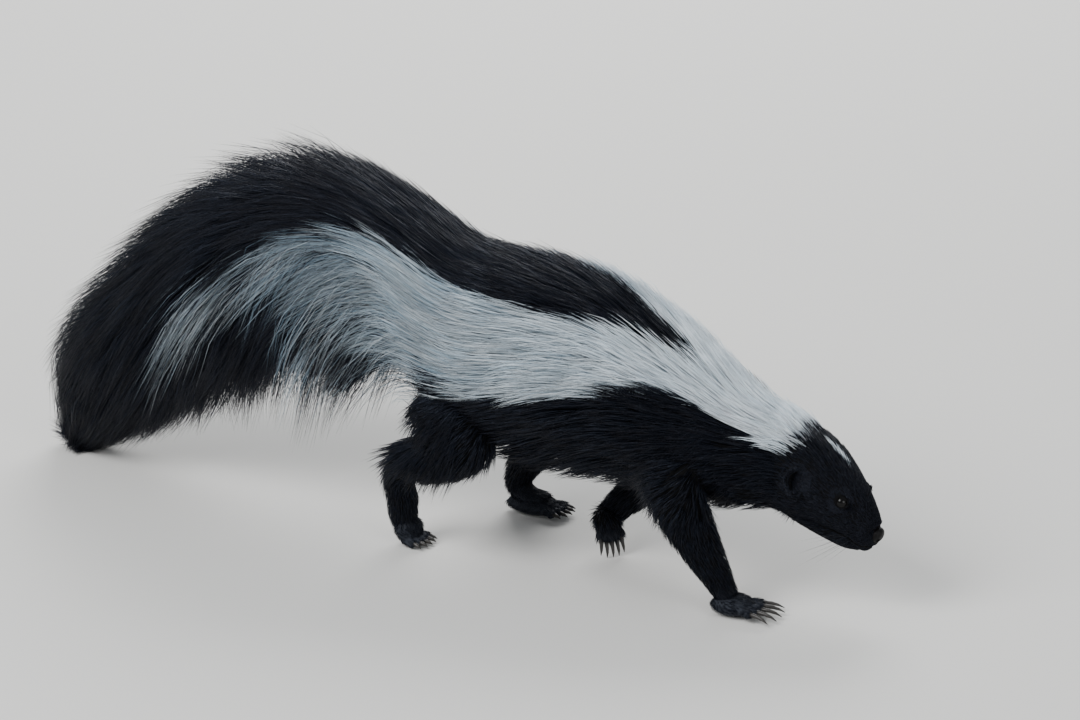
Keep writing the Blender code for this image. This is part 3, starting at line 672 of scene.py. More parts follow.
def ring_angle(table, points):
    """The angle from the top of each point round a form's axis, in degrees, left positive."""
    rows = np.array(table)
    order = np.argsort(rows[:, 0])
    middle = np.interp(points[:, 0], rows[order, 0], rows[order, 2])
    return np.degrees(np.arctan2(points[:, 1], points[:, 2] - middle))


x, y, z = points.T
white = np.maximum(stripe_white(x, ring_angle(SPINE, points)), brow_white(x, y, z))
white *= z > 6.5
marks = skin.data.color_attributes.new("coat", "FLOAT_COLOR", "POINT")
bare = smooth_step(-z, -2.2, -0.9)
values = np.stack([white, np.full(len(white), 0.5), bare, np.ones(len(white))], 1)
marks.data.foreach_set("color", values.ravel())
print("white share of the skin", round(float(white.mean()), 3))

# %% [markdown]
# Skin under a coat is matte and takes the coat's colour. The bare soles and toes are
# leathery, dark bluish grey, with fine wrinkles about a millimetre apart.

# %% Skin material
skin_leather, tree, shader = new_material("skin under fur", Roughness=0.75, Specular_IOR_Level=0.1)
coat = add_node(tree, "ShaderNodeAttribute", attribute_name="coat")
parts = add_node(tree, "ShaderNodeSeparateColor", {"Color": coat.outputs["Color"]})
where = add_node(tree, "ShaderNodeTexCoord")
wrinkles = add_node(tree, "ShaderNodeTexVoronoi", {"Vector": where.outputs["Object"]}, Scale=900.0)
fur_tone = add_node(
    tree, "ShaderNodeMix", {"Factor": parts.outputs["Red"]},
    {6: colour("030304"), 7: colour("b9bcc2")}, data_type="RGBA",
)
sole_tone = add_node(
    tree, "ShaderNodeMix", {"Factor": parts.outputs["Blue"], 6: fur_tone.outputs[2]},
    {7: colour("2c2f36")}, data_type="RGBA",
)
tree.links.new(sole_tone.outputs[2], shader.inputs["Base Color"])
bump = add_node(
    tree, "ShaderNodeBump", {"Height": wrinkles.outputs["Distance"]}, Strength=0.35, Distance=0.0004,
)
tree.links.new(bump.outputs["Normal"], shader.inputs["Normal"])
put_on(skin, skin_leather)
print("material", skin_leather.name)

# %% [markdown]
# The eyes are small, round and nearly black, with a wet shine. A ball behind the lids is
# enough for the eye: the white never shows, and the pupil fills most of the iris.

# %% The eyes
EYE_SIZE = 0.4
eye_glaze, _, _ = new_material(
    "glass eye", Base_Color=colour("050404"), Roughness=0.08, IOR=1.38, Specular_IOR_Level=0.3
)
for sign, side in ((-1, "right"), (1, "left")):
    turn = facing(mirrored(EYE_OUT, sign))
    eyeball = settle(ball(mirrored(EYE, sign), (EYE_SIZE,) * 3, turn, 40), "eyeball_" + side)
    bpy.ops.object.shade_smooth()
    put_on(eyeball, eye_glaze)
    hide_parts("eye_" + side)
    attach(eyeball, "root")
print("eyes are", round(2 * EYE_SIZE * 10), "mm across")

# %% [markdown]
# The nose is a bare pad of wet, pebbled black skin with two comma-shaped nostrils. It is a
# stretched ball with two smaller balls cut out of its front.

# %% The nose
NOSE = (18.93, 0, 5.25)
nose_pad = settle(ball(NOSE, (0.4, 0.56, 0.55), turn_of("Y", 32), 48), "nose_pad")
for sign in (-1, 1):
    offset = turn_of("Y", 32) @ Vector((0.3, 0.29 * sign, -0.08))
    hole_turn = turn_of("Y", 32) @ turn_of("X", 25 * sign)
    hole = settle(ball(Vector(NOSE) + offset, (0.2, 0.15, 0.16), hole_turn), "hole")
    cut = nose_pad.modifiers.new("nostril", "BOOLEAN")
    cut.operation = "DIFFERENCE"
    cut.solver = "EXACT"
    cut.object = hole
    pick(nose_pad)
    bpy.ops.object.modifier_apply(modifier="nostril")
    bpy.data.objects.remove(hole)
pick(nose_pad)
bpy.ops.object.shade_smooth_by_angle(angle=math.radians(50))
nose_leather, tree, shader = new_material(
    "wet nose skin", Base_Color=colour("060506"), Roughness=0.38, Specular_IOR_Level=0.14
)
where = add_node(tree, "ShaderNodeTexCoord")
pebbles = add_node(tree, "ShaderNodeTexVoronoi", {"Vector": where.outputs["Object"]}, Scale=1400.0)
bump = add_node(
    tree, "ShaderNodeBump", {"Height": pebbles.outputs["Distance"]}, Strength=0.5, Distance=0.0003,
)
tree.links.new(bump.outputs["Normal"], shader.inputs["Normal"])
put_on(nose_pad, nose_leather)
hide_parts("nose")
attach(nose_pad, "root")
print("nose has", triangles(nose_pad), "triangles")

# %% [markdown]
# The claws are dark horn. Those of the forefeet are long and slightly bent for digging.
# One claw is modelled at the tip of each toe by extruding a small disc along its curve.

# %% The claws
claws = []
sizes = [size for _, _, size in CLAW_CURVE]
for paw in PAWS:
    for _, end, turn in toes(paw):
        claws.append(thread(claw_line(paw, end, turn), sizes, turn))
claws = join(claws, "claws")
bpy.ops.object.shade_smooth_by_angle(angle=math.radians(60))
claw_horn, tree, shader = new_material("claw horn", Roughness=0.38)
where = add_node(tree, "ShaderNodeTexCoord")
grain = add_node(
    tree, "ShaderNodeTexNoise", {"Vector": where.outputs["Object"]}, Scale=700.0, Detail=3.0,
)
tint = add_node(
    tree, "ShaderNodeMix", {"Factor": grain.outputs["Fac"]},
    {6: colour("151416"), 7: colour("393531")}, data_type="RGBA",
)
tree.links.new(tint.outputs[2], shader.inputs["Base Color"])
put_on(claws, claw_horn)
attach(claws, "root")
print(len(claws.data.polygons), "faces of claws")

# %% [markdown]
# The coat is tens of thousands of thin tufts, each one a slim three-sided blade of a few
# hairs that stick together. A tuft is given in the coordinates of its form: it starts at a
# ring and an angle, just under the skin, runs towards the tail and rises to the coat's
# surface. So every tuft lies along the body, and the coat keeps its outline everywhere.

# %% One tuft's line, for many tufts at once
rng = np.random.default_rng(11)


def reach_of(table):
    """How far along its axis each row of a form lies, in centimetres."""
    rows = np.array(table)[:, :3]
    return np.concatenate([[0], np.cumsum(np.linalg.norm(np.diff(rows, axis=0), axis=1))])


def spot_on(table, at, angle, share):
    """Points at an angle from the top and a share of the way out, in centimetres."""
    rows = along(table, at)
    turn = np.radians(rows[:, 6])
    up = np.stack([np.sin(turn), np.zeros_like(turn), np.cos(turn)], 1)
    height = np.where(np.cos(angle) > 0, rows[:, 4], rows[:, 5]) * np.cos(angle) * share
    spot = rows[:, :3] + up * height[:, None]
    spot[:, 1] += rows[:, 3] * np.sin(angle) * share
    return spot


def tuft_lines(table, roots, count=5):
    """The points of each tuft, from its root to its tip, forward rows being negative steps."""
    reach = reach_of(table)
    rows = np.arange(len(table))
    way = np.interp(roots["at"], rows, reach)
    lines = []
    for t in np.linspace(0, 1, count):
        at = np.interp(way + roots["step"] * roots["length"] * t ** 0.9, reach, rows)
        rise = 1 - (1 - t) ** roots["rise"]
        share = roots["root"] + (roots["tip"] - roots["root"]) * rise
        angle = roots["angle"] + roots["droop"] * t * t
        lines.append(spot_on(table, at, angle, share))
    lines = np.stack(lines, 1)
    return lines


# %% [markdown]
# Hairs of a long coat clump: neighbours lean together towards their tips. Each tuft
# looks for the nearest of a few hundred leaders and bends its tip part of the way towards
# the leader's tip, which gives the coat its broken, pointed locks.

# %% Clumps and the width of the coat
def clumped(lines, roots_at, leaders, pull):
    """Bends the tufts' outer halves towards their nearest leader, and names that leader."""
    chosen = rng.choice(len(lines), leaders, replace=False)
    nearest = np.empty(len(lines), int)
    for start in range(0, len(lines), 2000):
        part = roots_at[start : start + 2000]
        gap = ((part[:, None, :] - roots_at[chosen][None]) ** 2).sum(2)
        nearest[start : start + 2000] = chosen[gap.argmin(1)]
    share = np.linspace(0, 1, lines.shape[1]) ** 1.6
    amount = (pull * share)[None, :, None] * rng.uniform(0.4, 1.0, len(lines))[:, None, None]
    return lines + (lines[nearest] - lines) * amount, nearest


def slimmed(lines):
    """Presses hairs that reach far out to the side closer to the body."""
    side = np.abs(lines[..., 1])
    near = np.minimum(side, 6.3) + np.maximum(side - 6.3, 0) * 0.4
    return np.stack([lines[..., 0], np.sign(lines[..., 1]) * near, lines[..., 2]], -1)


# %% [markdown]
# A tuft becomes a blade with three sides, widest near its root and pointed at its tip. All
# the blades of a patch go into one mesh at once, because hand work on each would take
# days. Every blade has the same points and faces in the same order, so they are written
# down once and repeated with rising numbers.

# %% The points and faces of the blades
def blade_points(lines, width):
    """Three points round every step of each line but its last, which is the blade's tip."""
    along_line = np.gradient(lines, axis=1)
    along_line /= np.linalg.norm(along_line, axis=2)[..., None] + 1e-9
    count, steps, _ = lines.shape
    across = np.cross(along_line, rng.normal(size=(count, 1, 3)))
    across /= np.linalg.norm(across, axis=2)[..., None] + 1e-9
    over = np.cross(across, along_line)
    taper = np.interp(np.linspace(0, 1, steps)[:-1], (0, 0.25, 0.5, 0.75), (0.8, 1.0, 0.8, 0.45))
    half = (width[:, None] * taper / 2)[..., None]
    corners = [
        lines[:, :-1] + (across[:, :-1] * math.cos(turn) + over[:, :-1] * math.sin(turn) * 0.55) * half
        for turn in map(math.radians, (90, 210, 330))
    ]
    rings = np.stack(corners, 2).reshape(count, -1, 3)
    return np.concatenate([rings, lines[:, -1:]], 1)


def blade_faces(count, steps):
    """The point numbers of the blades' faces, and how many points each face has."""
    quads = [
        (3 * k + i, 3 * k + (i + 1) % 3, 3 * k + 3 + (i + 1) % 3, 3 * k + 3 + i)
        for k in range(steps - 2) for i in range(3)
    ]
    last = 3 * (steps - 2)
    ends = [(last + i, last + (i + 1) % 3, last + 3) for i in range(3)] + [(2, 1, 0)]
    blade = np.concatenate([np.ravel(quads), np.ravel(ends)])
    numbers = blade[None] + (np.arange(count) * (last + 4))[:, None]
    return numbers.ravel(), np.tile([4] * len(quads) + [3] * len(ends), count)


def mesh_of(name, points, numbers, sizes):
    """A smooth mesh of points in centimetres and faces of given sizes."""
    mesh = bpy.data.meshes.new(name)
    mesh.vertices.add(points.size // 3)
    mesh.vertices.foreach_set("co", (points * CM + [SHIFT, 0, 0]).ravel())
    mesh.loops.add(len(numbers))
    mesh.loops.foreach_set("vertex_index", numbers.astype(np.int32))
    mesh.polygons.add(len(sizes))
    starts = np.concatenate([[0], np.cumsum(sizes)[:-1]])
    mesh.polygons.foreach_set("loop_start", starts.astype(np.int32))
    mesh.polygons.foreach_set("use_smooth", np.ones(len(sizes), bool))
    mesh.update(calc_edges=True)
    return mesh


# %% [markdown]
# Each tuft has one patch of the colour map, three thousandths wide, at the place of its
# root on an unrolled skin. Its whiteness, its shade and the way from root to tip are kept
# on its points, where the material reads them.

# %% A piece of coat
PATCH = 0.003
coat_pieces = []


def coat_mesh(name, lines, width, shade, white, patch):
    """Makes one piece of coat, with its colours and its map."""
    count, steps, _ = lines.shape
    points = blade_points(slimmed(lines), width)
    numbers, sizes = blade_faces(count, steps)
    mesh = mesh_of(name, points, numbers, sizes)
    per = points.shape[1]
    outward = np.append(np.repeat(np.linspace(0, 1, steps)[:-1], 3), 1.0)
    tone = np.ones((count, per, 4))
    tone[..., 0] = white[:, None]
    tone[..., 1] = shade[:, None]
    tone[..., 2] = outward
    marks = mesh.color_attributes.new("coat", "FLOAT_COLOR", "POINT")
    marks.data.foreach_set("color", tone.ravel())
    corner, tuft = numbers % per, numbers // per
    local = np.stack([np.sin(corner * 2.1) * 0.4 + 0.5, outward[corner]], 1) * PATCH
    baked = mesh.uv_layers.new(name="OFBake")
    baked.data.foreach_set("uv", (patch[tuft] * 0.99 + local).ravel())
    obj = bpy.data.objects.new(name, mesh)
    bpy.context.scene.collection.objects.link(obj)
    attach(obj, "root")
    coat_pieces.append(obj)
    print(name, "has", count, "tufts")


# %% [markdown]
# A form's tufts are strewn evenly over its surface: a place along it is drawn more often
# where its rings are wide. The patch of a tuft on the colour map is its place along and
# round the form, which is an unrolled skin.

# %% Places and lines of a form's tufts
# What a patch of coat does unless it says otherwise. Pairs of rows and values change
# along the form.
WAYS = {
    "step": 1, "steps": 5, "even": 1.0, "rise": 1.6, "uneven": 0.1, "strays": 0.06, "stray": 0.07,
    "curl": 0.12, "clump": 22, "pull": 0.5, "crest": 0, "droop": ((0,), (6,)), "looser": ((0,), (1,)),
}


def strewn(table, count, first, last, even):
    """Random places along a form with angles round it, more where its rings are wide."""
    grid = np.linspace(first, last, 400)
    rows = along(table, grid)
    around = rows[:, 3] + (rows[:, 4] + rows[:, 5]) / 2
    pace = np.interp(grid, np.arange(len(table)), np.gradient(reach_of(table)))
    chance = np.cumsum(around**even * pace)
    at = np.interp(rng.uniform(0, chance[-1], count), chance, grid)
    return at, rng.uniform(-math.pi, math.pi, count)


def grown(table, at, angle, length, root, tip, ways):
    """The tufts' lines, a little uneven in length, height and curl, with a few strays."""
    count = len(at)
    long = np.interp(at, *length) * rng.uniform(0.75, 1.15, count)
    luck = rng.random(count)
    stray = (rng.random(count) < ways["strays"]) * rng.random(count)
    crest = 1 + ways["crest"] * np.maximum(np.cos(angle), 0)
    height = np.interp(at, *tip) * (1 - ways["uneven"] * luck**1.5) * crest
    droop = np.radians(np.interp(at, *ways["droop"]))
    roots = {
        "at": at, "angle": angle, "step": ways["step"], "length": long, "rise": ways["rise"],
        "root": np.interp(at, *root), "tip": height + stray * ways["stray"],
        "droop": droop * np.sin(angle) * np.abs(np.sin(angle)) ** 0.5,
    }
    lines = tuft_lines(table, roots, ways["steps"])
    curl = rng.normal(size=(count, 3)) * ways["curl"] * np.interp(at, *ways["looser"])[:, None]
    return lines + curl[:, None, :] * (np.linspace(0, 1, ways["steps"]) ** 2)[None, :, None]


# %% [markdown]
# Neighbours of one lock are alike in colour, and the locks differ most on the tail, where each
# lock as a whole is painted lighter or darker, as painted shade between the locks. So half of a
# tuft's chance and shade is its own, and half is its leader's.

# %% Strewing a form's coat
def tint_and_lock_shade(lines, white, nearest):
    """How white each tuft is by its place, and how light, with painted shade shared by each lock."""
    count = len(lines)
    draw = (rng.random(count) + rng.random(count)[nearest]) / 2
    white = (white > draw) * np.interp(lines[:, 1, 0], *PALE_AND_SHADE)
    # Painted shade between the locks: strongest on the tail, about a third as strong at the nape.
    lock_shade_strength = np.interp(lines[:, 1, 0], (-14, 8), (1.0, 0.35))
    white *= 1 - lock_shade_strength * (1 - rng.uniform(0.7, 1, count) * rng.uniform(0.55, 1.25, count)[nearest])
    # A low shade value paints the white darker and the black lighter, both bluer.
    shade = 1 - lock_shade_strength * (1 - rng.random(count) * 0.5 - rng.random(count)[nearest] * 0.5)
    return np.minimum(white, 1), shade


def strew(name, table, count, first, last, length, width, root, tip, keep, white, **ways):
    """Covers part of a form with tufts, in pieces of less than 200,000 triangles."""
    ways = WAYS | ways
    at, angle = strewn(table, count, first, last, ways["even"])
    lines = grown(table, at, angle, length, root, tip, ways)
    kept = keep(lines, at, angle)
    lines, at, angle = lines[kept], at[kept], angle[kept]
    places = np.stack([np.interp(at, np.arange(len(table)), reach_of(table)), angle * 4], 1)
    leaders = max(4, int(len(lines) / ways["clump"]))
    lines, nearest = clumped(lines, places, leaders, ways["pull"])
    # No hair goes into the floor.
    lines[..., 2] = np.maximum(lines[..., 2], 0.06)
    white, shade = tint_and_lock_shade(lines, white(lines, at, np.degrees(angle)), nearest)
    broad = np.interp(at, *width) * rng.uniform(0.7, 1.3, len(at))
    patch = np.stack([(at - first) / (last - first), (angle + math.pi) / (2 * math.pi)], 1)
    each = 6 * (ways["steps"] - 2) + 4
    shares = np.array_split(np.argsort(at), math.ceil(len(at) * each / 190000))
    for number, some in enumerate(shares):
        piece = name + "_" + str(number + 1)
        coat_mesh(piece, lines[some], broad[some], shade[some], white[some], patch[some])


# %% [markdown]
# The back's guard hairs are three to six centimetres long and lie back and slightly down,
# longest over the rump. The tail's are the longest, about ten centimetres: they leave the
# thin tail bone steeply and arch back towards the tip, so that the tail is a plume. A
# tuft takes its colour from the place that its middle covers, not from its root.

# %% The coat of the back and the tail
def upper_side(lines, at, angle):
    """Drops the tufts under the trunk, which get a shorter coat of their own."""
    lowest = np.interp(at, (6, 8, 9), (112, 120, 180))
    return np.degrees(np.abs(angle)) <= lowest


def spine_white(lines, at, angle):
    """Whether a tuft's middle is in the white, with some black hairs among the tail's."""
    x = lines[:, -2, 0]
    return stripe_white(x, angle) * np.interp(x, (-30, -16, -8), (0.62, 0.7, 1.0))


def under(least):
    """Keeps the tufts that are further from the top than an angle."""
    return lambda lines, at, angle: np.degrees(np.abs(angle)) > least


def plain(value):
    """The same whiteness everywhere."""
    return lambda lines, at, angle: np.full(len(at), value)


strew(
    "back_coat", SPINE, 28300, 0.2, TAIL_ROWS,
    length=((0, 1, 2, 4, 6, 7.5, 9), (1.3, 2.1, 3.0, 4.2, 5.4, 7.0, 8.5)),
    width=((0, 2, 9), (0.055, 0.07, 0.085)),
    root=((0, 1, 7, 8, 9), (0.88, 0.82, 0.77, 0.7, 0.4)),
    tip=((0, 4, 9), (1.02, 1.03, 0.96)),
    droop=((0, 5, 9), (8, 10, 12)), strays=0.12, stray=0.1,
    rise=1.5, uneven=0.14, steps=4, curl=0.14, pull=0.6, keep=upper_side, white=spine_white,
)
strew(
    "tail_coat", SPINE, 28400, TAIL_ROWS - 0.6, 17.9,
    length=((8, 10, 13, 16, 18), (8.0, 9.5, 10.5, 7.0, 4.0)),
    width=((8,), (0.072,)),
    root=((8, 9, 10, 18), (0.6, 0.3, 0.17, 0.16)),
    tip=((8, 9.5, 11, 14, 15, 16, 17), (0.98, 0.98, 1.08, 1.12, 1.24, 1.4, 1.6)),
    droop=((8, 18), (12, 8)), looser=((8, 14, 16), (1, 1, 1.6)), crest=0.06,
    rise=1.35, uneven=0.5, steps=4, even=0.8, curl=0.34, strays=0.22, stray=0.17, pull=0.68,
    clump=30, keep=upper_side, white=spine_white,
)

# %% [markdown]
# Under the tail black hair hangs almost straight down from the tail bone and ends in
# loose points. It starts steeply, so that a short way along the tail it is far down.

# %% The fringe under the tail
strew(
    "fringe", SPINE, 9500, TAIL_ROWS - 0.4, 16.9,
    length=((8.6, 13, 17), (4.5, 5.5, 3.2)),
    width=((8,), (0.07,)),
    root=((8, 10, 17), (0.4, 0.2, 0.15)),
    tip=((8, 9.5, 10.5, 12, 13.5, 17), (1.08, 1.24, 1.25, 1.18, 1.12, 1.12)),
    rise=1.15, uneven=0.42, steps=4, curl=0.36, clump=34, pull=0.8, strays=0.2, stray=0.08,
    keep=under(114), white=plain(0.0),
)

# %% [markdown]
# Long pale wisps from the end of the stripe hang over the root of the tail and the thighs.

# %% The wisps under the tail's root
strew(
    "wisps", SPINE, 2600, 7.0, 9.8,
    length=((7, 9.8), (7.5, 7.0)),
    width=((7,), (0.055,)),
    root=((7, 8, 9.8), (0.78, 0.68, 0.4)),
    tip=((7, 8, 9.8), (0.98, 1.1, 1.26)),
    droop=((7, 9.8), (26, 30)),
    rise=1.2, uneven=0.3, curl=0.4, clump=10, pull=0.75, white=plain(0.75),
    keep=lambda lines, at, angle: np.abs(np.degrees(np.abs(angle)) - 107.5) < 37.5,
)

# %% [markdown]
# The belly and the lower flanks have a shorter coat, which is all black.

# %% The coat of the underside
strew(
    "belly_coat", TRUNK, 12000, 0.6, 9.6,
    length=((0, 2, 6, 10), (2.6, 3.6, 3.0, 2.2)),
    width=((0, 10), (0.08, 0.07)),
    root=((0, 2, 6, 10), (0.66, 0.76, 0.78, 0.82)),
    tip=((0, 3, 10), (1.02, 1.03, 1.03)),
    rise=1.5, uneven=0.12, step=-1, steps=4, curl=0.08, keep=under(96), white=plain(0.0),
)

# %% [markdown]
# The head's fur is short, a millimetre or two on the snout and about a centimetre on the
# cheeks and the nape, and so is that of legs and feet. It follows the skin closely, so
# these tufts start from places on the skin itself and lie flat along it.

# %% Places on the skin
skin.data.calc_loop_triangles()
corners = np.empty(len(skin.data.loop_triangles) * 3, np.int32)
skin.data.loop_triangles.foreach_get("vertices", corners)
corners = corners.reshape(-1, 3)
normals = np.empty(len(points) * 3)
skin.data.vertices.foreach_get("normal", normals)
normals = normals.reshape(-1, 3)
edges = points[corners[:, 1:]] - points[corners[:, :1]]
areas = np.linalg.norm(np.cross(edges[:, 0], edges[:, 1]), axis=1) / 2
middles = points[corners].mean(1)


def places_on_skin(count, chance):
    """Random places on the skin with their normals, by area and each triangle's chance."""
    weight = areas * chance
    chosen = rng.choice(len(areas), count, p=weight / weight.sum())
    shares = rng.dirichlet((1, 1, 1), count)[..., None]
    normal = (normals[corners[chosen]] * shares).sum(1)
    normal /= np.linalg.norm(normal, axis=1)[:, None]
    return (points[corners[chosen]] * shares).sum(1), normal


def lying_tufts(spots, normal, flow, length, lift, steps=3):
    """Lines that start under the skin, lie along the flow and stand off by an angle."""
    flow = flow + rng.normal(0, 0.12, flow.shape)
    flat = flow - normal * (flow * normal).sum(1)[:, None]
    flat /= np.linalg.norm(flat, axis=1)[:, None] + 1e-9
    length = (length * rng.uniform(0.75, 1.2, len(length)))[:, None]
    rise = np.sin(lift)[:, None]
    lines = []
    for t in np.linspace(0, 1, steps):
        off = length * rise * t * (1.35 - 0.45 * t) - np.minimum(0.06, length * 0.1)
        lines.append(spots + flat * length * np.cos(lift)[:, None] * t + normal * off)
    return np.stack(lines, 1)


print("skin of", round(float(areas.sum())), "square cm")

# %% [markdown]
# On the head the fur streams back from the nose. It leaves the nose, the lids and the
# eyes free.

# %% Length, slope and density of the head's fur
MUZZLE = (19.3, 0, 4.8)


def away_from(spots, middle, sign):
    """How far places are from a point of the right (-1) or left (1) side of the head."""
    return np.linalg.norm(spots - np.array(mirrored(middle, sign)), axis=1)


def head_chance(near, far):
    """How many tufts each part of the skin gets, more round ears and eyes."""
    away = np.linalg.norm(middles - np.array(MUZZLE), axis=1)
    chance = (middles[:, 0] > 12.4) * (middles[:, 2] > 3.0) * (away >= near) * (away < far)
    more = np.ones(len(middles))
    for sign in (-1, 1):
        more += 4 * (away_from(middles, EAR, sign) < 1.05)
        more += 1.8 * (away_from(middles, EYE, sign) < 0.8)
    return chance * more / (away * away * 0.3 + 0.5)


def head_fur(spots, normal, away):
    """How long the fur is and how much it stands off."""
    length = np.interp(away, (0.7, 1.5, 3, 4.5, 5.6, 7), (0.16, 0.25, 0.4, 0.7, 1.4, 2.0))
    lift = np.radians(np.interp(away, (1, 3, 7), (24, 19, 15)))
    for sign in (-1, 1):
        from_ear, from_eye = away_from(spots, EAR, sign), away_from(spots, EYE, sign)
        length = np.minimum(length, 0.36 + 0.5 * np.maximum(from_ear - 0.95, 0))
        length = np.minimum(length, 0.24 + 0.3 * np.maximum(from_eye - 0.5, 0))
        lift = np.minimum(lift, np.radians(np.interp(from_eye, (0.5, 1.3), (13, 24))))
    return length * np.interp(normal[:, 2], (-0.8, -0.2), (0.6, 1.0)), lift


# %% The coat of the head
def clear_of_face(spots, lines):
    """Which tufts leave the nose, the lips and the eyes free."""
    keep = np.linalg.norm((spots - np.array(NOSE)) * (1, 1, 0.95), axis=1) > 0.52
    for line in lip_lines:
        lip = np.concatenate([np.linspace(a, b, 8) for a, b in zip(line[:-1], line[1:])])
        keep &= ((spots[:, None] - lip[None]) ** 2).sum(2).min(1) > 0.1**2
    for sign in (-1, 1):
        eye = np.array(mirrored(EYE, sign) + mirrored(EYE_OUT, sign) * 0.2)
        for step, gap in enumerate((0.42, 0.4, 0.36)):
            keep &= np.linalg.norm(lines[:, step] - eye, axis=1) > gap
    return keep


def head_coat(name, count, near, far):
    """Short tufts on the part of the head between two distances from the nose."""
    spots, normal = places_on_skin(count, head_chance(near, far))
    from_nose = spots - np.array(MUZZLE)
    away = np.linalg.norm(from_nose, axis=1)
    length, lift = head_fur(spots, normal, away)
    lines = lying_tufts(spots, normal, from_nose / away[:, None], length, lift)
    keep = clear_of_face(spots, lines)
    lines, spots, away = lines[keep], spots[keep], away[keep]
    angle = ring_angle(SPINE, spots)
    white = np.maximum(stripe_white(spots[:, 0], angle), brow_white(*spots.T))
    width = np.interp(away, (1, 3, 7), (0.035, 0.045, 0.06)) * rng.uniform(0.7, 1.3, len(away))
    patch = np.clip(np.stack([(spots[:, 0] - 12) / 8, angle / 360 + 0.5], 1), 0, 1)
    white = (white > 0.5) * rng.uniform(0.85, 1, len(white))
    coat_mesh(name, lines, width, rng.uniform(0.65, 1, len(width)), white, patch)


head_coat("snout_coat", 13500, 0, 3.6)
head_coat("cheek_coat", 16500, 3.6, 9)

# %% [markdown]
# On the legs the fur runs down the limb and on over the toes. Each place takes its
# direction from the nearest piece of leg or toe. The soles stay bare.

# %% The coat of the legs and feet
path_spots, path_ways = [], []
for table in LEGS.values():
    rows = along(table, np.linspace(0, len(table) - 1, 60))[:, :3]
    path_spots.append(rows)
    path_ways.append(np.gradient(rows, axis=0))
for paw in PAWS:
    for start, end, _ in toes(paw):
        path_spots.append(np.linspace(start, end, 8))
        path_ways.append(np.tile(np.array(end - start), (8, 1)))
path_spots, path_ways = np.concatenate(path_spots), np.concatenate(path_ways)
path_ways /= np.linalg.norm(path_ways, axis=1)[:, None]


def nearest_path(spots):
    """The distance to the nearest piece of leg or toe, and its number."""
    parts = np.array_split(spots, len(spots) // 1500 + 1)
    found = [((part[:, None] - path_spots[None]) ** 2).sum(2) for part in parts]
    number = np.concatenate([gap.argmin(1) for gap in found])
    return np.linalg.norm(spots - path_spots[number], axis=1), number


on_legs = (middles[:, 2] < 12) * (middles[:, 0] > -16) * (middles[:, 0] < 16)
gap, _ = nearest_path(middles[on_legs])
leg_chance = np.zeros(len(middles))
leg_chance[on_legs] = (gap < 3.6) / (middles[on_legs, 2] + 1.5)


def limb_coat(name, count):
    """Tufts that run down the limbs, longer with the height above the floor."""
    spots, normal = places_on_skin(count, leg_chance)
    _, nearest = nearest_path(spots)
    high = spots[:, 2]
    length = np.interp(high, (0.2, 0.9, 2.2, 5, 9), (0.28, 0.4, 0.7, 1.2, 2.0))
    lift = np.radians(np.interp(high, (0, 2, 8), (16, 18, 15)))
    with_trunk = smooth_step(high, 4, 8.5)[:, None]
    flow = path_ways[nearest] * (1 - with_trunk) + np.array([-0.75, 0, -0.6]) * with_trunk
    lines = lying_tufts(spots, normal, flow, length, lift)
    keep = (normal[:, 2] > -0.55) | (high > 1.2)
    lines, spots, high = lines[keep], spots[keep], high[keep]
    lines[..., 2] = np.maximum(lines[..., 2], 0.05)
    width = np.interp(high, (0, 3, 9), (0.035, 0.055, 0.075)) * rng.uniform(0.7, 1.3, len(high))
    left = 0.5 * (spots[:, 1] > 0)
    patch = np.clip(np.stack([(spots[:, 0] + 14) / 30, high / 10 * 0.45 + left], 1), 0, 1)
    coat_mesh(name, lines, width, rng.uniform(0.5, 1, len(high)), np.zeros(len(high)), patch)


limb_coat("limb_coat", 14000)
limb_coat("limb_coat_under", 14000)

# %% [markdown]
# Under the root of the tail the rump and the back of the thighs are covered with longer
# black hair that hangs down.

# %% The coat of the rump
at_rump = (middles[:, 0] < -7) * (middles[:, 0] > -15) * (middles[:, 2] > 6.5) * (middles[:, 2] < 15)
spots, normal = places_on_skin(6000, at_rump * 1.0)
hanging = np.tile(np.array([-0.45, 0, -0.9]), (len(spots), 1))
length = np.full(len(spots), 2.6)
lines = lying_tufts(spots, normal, hanging, length, np.full(len(spots), math.radians(17)), 4)
in_white = stripe_white(spots[:, 0], ring_angle(SPINE, spots)) > 0.2
lines, spots = lines[~in_white], spots[~in_white]
patch = np.clip(np.stack([(spots[:, 2] - 6) / 10, spots[:, 1] / 14 + 0.5], 1), 0, 1)
broad = rng.uniform(0.06, 0.1, len(spots))
shade = rng.uniform(0.5, 1, len(spots))
coat_mesh("rump_coat", lines, broad, shade, np.zeros(len(spots)), patch)

# %% [markdown]
# A few long stiff whiskers stand in rows on each side of the snout.

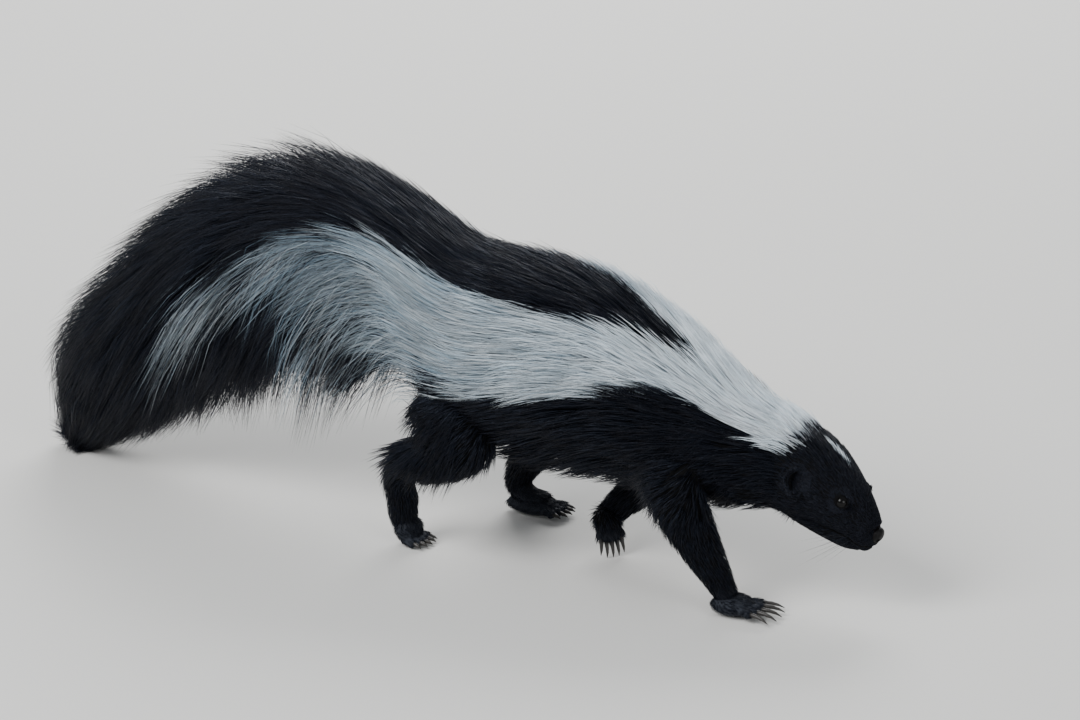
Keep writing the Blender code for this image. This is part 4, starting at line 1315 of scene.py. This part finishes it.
# %% The whiskers
lines = []
for sign in (-1, 1):
    for number in range(9):
        step, row = number % 3, number // 3
        root = mirrored(WHISKER_PAD, sign) + Vector((0.1 - 0.22 * step, 0.42 * sign, 0.18 - 0.17 * row))
        out = Vector((-0.35 - 0.16 * step, 1.0 * sign, 0.1 - 0.25 * row)).normalized() * (2.4 + 0.5 * step)
        lines.append([root + out * t + Vector((-0.5, 0, -0.35)) * t * t for t in (0, 0.33, 0.66, 1)])
lines = np.array(lines)
count = len(lines)
patch = np.stack([np.linspace(0.1, 0.9, count), np.full(count, 0.5)], 1)
coat_mesh("whiskers", lines, np.full(count, 0.028), np.full(count, 0.6), np.zeros(count), patch)

# %% [markdown]
# Skunk fur is glossy, and the shine of its hairs is tinted blue. Where a tuft's shade is low,
# mostly on the tail, black is painted lighter and bluer, a painted sheen, and white darker and
# bluer, painted shade. Every tuft varies a little, and a black tuft's tip is browner and lighter.

# %% Coat material
fur, tree, shader = new_material(
    "guard hair", Roughness=0.42, IOR=1.5, Specular_IOR_Level=0.27, Specular_Tint=colour("c4d4f5")
)
coat = add_node(tree, "ShaderNodeAttribute", attribute_name="coat")
parts = add_node(tree, "ShaderNodeSeparateColor", {"Color": coat.outputs["Color"]})
# Black hair, painted lighter and bluer where the shade value is low: a painted sheen.
black_and_sheen = add_node(
    tree, "ShaderNodeMix", {"Factor": parts.outputs["Green"]},
    {6: colour("20252f"), 7: colour("040407")}, data_type="RGBA",
)
tip_amount = add_node(tree, "ShaderNodeMath", {0: parts.outputs["Blue"]}, {1: 5.0}, operation="POWER")
black_tip = add_node(
    tree, "ShaderNodeMix", {"Factor": tip_amount.outputs[0], 6: black_and_sheen.outputs[2]},
    {7: colour("231f20")}, data_type="RGBA",
)
# White hair, painted darker and bluer where the shade value is low: painted shade.
pale_and_shade = add_node(
    tree, "ShaderNodeMix", {"Factor": parts.outputs["Green"]},
    {6: colour("86afc8"), 7: colour("f3fafe")}, data_type="RGBA",
)
tone = add_node(
    tree, "ShaderNodeMix",
    {"Factor": parts.outputs["Red"], 6: black_tip.outputs[2], 7: pale_and_shade.outputs[2]}, data_type="RGBA",
)
tree.links.new(tone.outputs[2], shader.inputs["Base Color"])
for piece in coat_pieces:
    put_on(piece, fur)
print(len(coat_pieces), "pieces of coat,", sum(triangles(piece) for piece in coat_pieces), "triangles")
